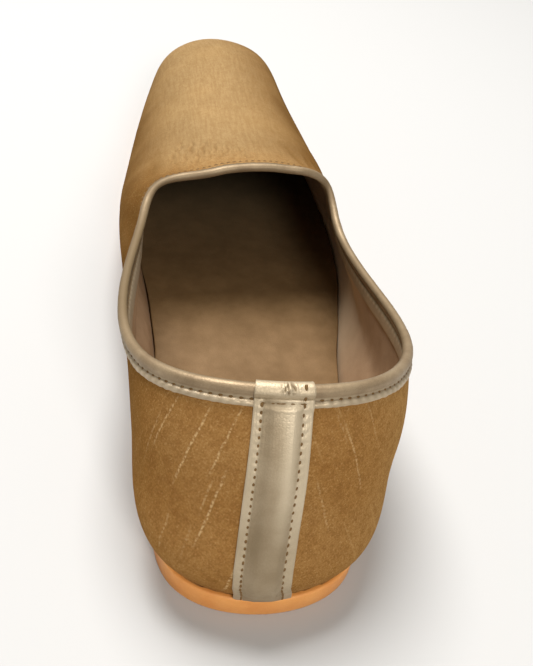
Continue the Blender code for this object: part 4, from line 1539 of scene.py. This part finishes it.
# %% Stitches across the strip, under the bead
cross_row = int(np.argmin(np.where(on_wall_rows, np.abs(down - CROSS_DROP), 1.0)))
columns = np.arange(column_left + 3, column_right - 1)
line = strip_front[cross_row, columns]
normals = np.stack([strip_normals(np.array([cross_row]), c)[0] for c in columns])
half = len(columns) * 9 // 20
sew("cross_stitches_left", line[:half], normals[:half], 3, length=0.0009, radius=0.00022,
    lift=0.00012)
sew("cross_stitches_right", line[half:], normals[half:], 3, length=0.0023, radius=0.00023,
    lift=0.00020)

# %% [markdown]
# ## Floor, light and camera
# The shoe stands on a plain white sweep. A large soft lamp hangs over it, in front and a little to
# the inner side. A smaller one stands behind the camera to the right and lights the heel strip,
# whose long highlight is also painted on its crest. A pale sky fills the shadows. It is brightest
# just above the horizon, so the shoe's sides keep their light while its top stays rich. The camera
# looks down at the heel from behind, as in the photograph.

# %% The floor
FLOOR = 6.0
floor_mesh = bpy.data.meshes.new("floor")
floor_mesh.from_pydata([(-FLOOR, -FLOOR, 0.0), (FLOOR, -FLOOR, 0.0), (FLOOR, FLOOR, 0.0),
                        (-FLOOR, FLOOR, 0.0)], [], [(0, 1, 2, 3)])
floor = in_scene("floor", floor_mesh)
white, tree, shader = new_finish("white_floor")
wire(tree, shader, {"Base Color": (0.55, 0.55, 0.55, 1.0), "Roughness": 0.9,
                    "Specular IOR Level": 0.1})
floor_mesh.materials.append(white)
print("the floor is", 2.0 * FLOOR, "m wide")

# %% The sky
HORIZON = (0.17, 0.17, 0.165, 1.0)
LOW_SKY = (0.46, 0.455, 0.44, 1.0)
HIGH_SKY = (0.22, 0.22, 0.21, 1.0)
world = bpy.data.worlds.new("pale_sky")
world.use_nodes = True
sky = world.node_tree
up = parts_of(sky, add(sky, "ShaderNodeTexCoord").outputs["Generated"])["Z"]
color = blend(sky, span(sky, up, 0.0, 0.12), HORIZON, LOW_SKY)
color = blend(sky, span(sky, up, 0.12, 0.40), color, HIGH_SKY)
wire(sky, sky.nodes["Background"], {"Color": color})
bpy.context.scene.world = world
print("sky:", len(sky.nodes), "nodes")


# %% The lamps
def soft_light(name, place, target, width, power, color):
    """A round soft lamp that shines from a place at a target."""
    lamp = bpy.data.lights.new(name, "AREA")
    lamp.shape = "DISK"
    lamp.size = width
    lamp.energy = power
    lamp.color = color
    holder = in_scene(name, lamp)
    holder.location = place
    toward = Vector(target) - Vector(place)
    holder.rotation_euler = toward.to_track_quat("-Z", "Y").to_euler()


soft_light("overhead", (-0.15, 0.42, 1.05), (0.0, 0.10, 0.03),
           width=0.60, power=18.5, color=(1.0, 0.98, 0.95))
soft_light("behind_camera", (0.16, -0.88, 0.72), (0.0, 0.0, 0.04),
           width=0.35, power=6.6, color=(1.0, 0.97, 0.92))

# %% The camera
# Its place and aim were found by laying the solids over the photograph.
CAMERA_PLACE = Vector((-0.0419, -0.1758, 0.2219))
LOOK_DOWN = math.radians(39.18)
HEADING = math.radians(4.18)
TILT = math.radians(0.21)
AIM_RIGHT, AIM_UP = 0.2203, -0.0536
LENS = 49.5

ahead = Vector((-math.sin(HEADING), math.cos(HEADING), 0.0))
right = Vector((math.cos(HEADING), math.sin(HEADING), 0.0))
forward = ahead * math.cos(LOOK_DOWN) - Vector((0.0, 0.0, math.sin(LOOK_DOWN)))
above = right.cross(forward)
side_axis = right * math.cos(TILT) + above * math.sin(TILT)
up_axis = above * math.cos(TILT) - right * math.sin(TILT)
aim = forward + side_axis * AIM_RIGHT + up_axis * AIM_UP
turn = forward.rotation_difference(aim)
camera_axes = Matrix((turn @ side_axis, turn @ up_axis, turn @ -forward)).transposed()
lens = bpy.data.cameras.new("camera")
lens.lens = LENS
lens.sensor_width = 36.0
lens.clip_start = 0.01
camera = in_scene("camera", lens)
camera.matrix_world = Matrix.Translation(CAMERA_PLACE) @ camera_axes.to_4x4()
bpy.context.scene.camera = camera
bpy.context.scene.view_settings.view_transform = "Standard"
print("camera at", [round(x, 3) for x in CAMERA_PLACE], "lens", LENS, "mm")
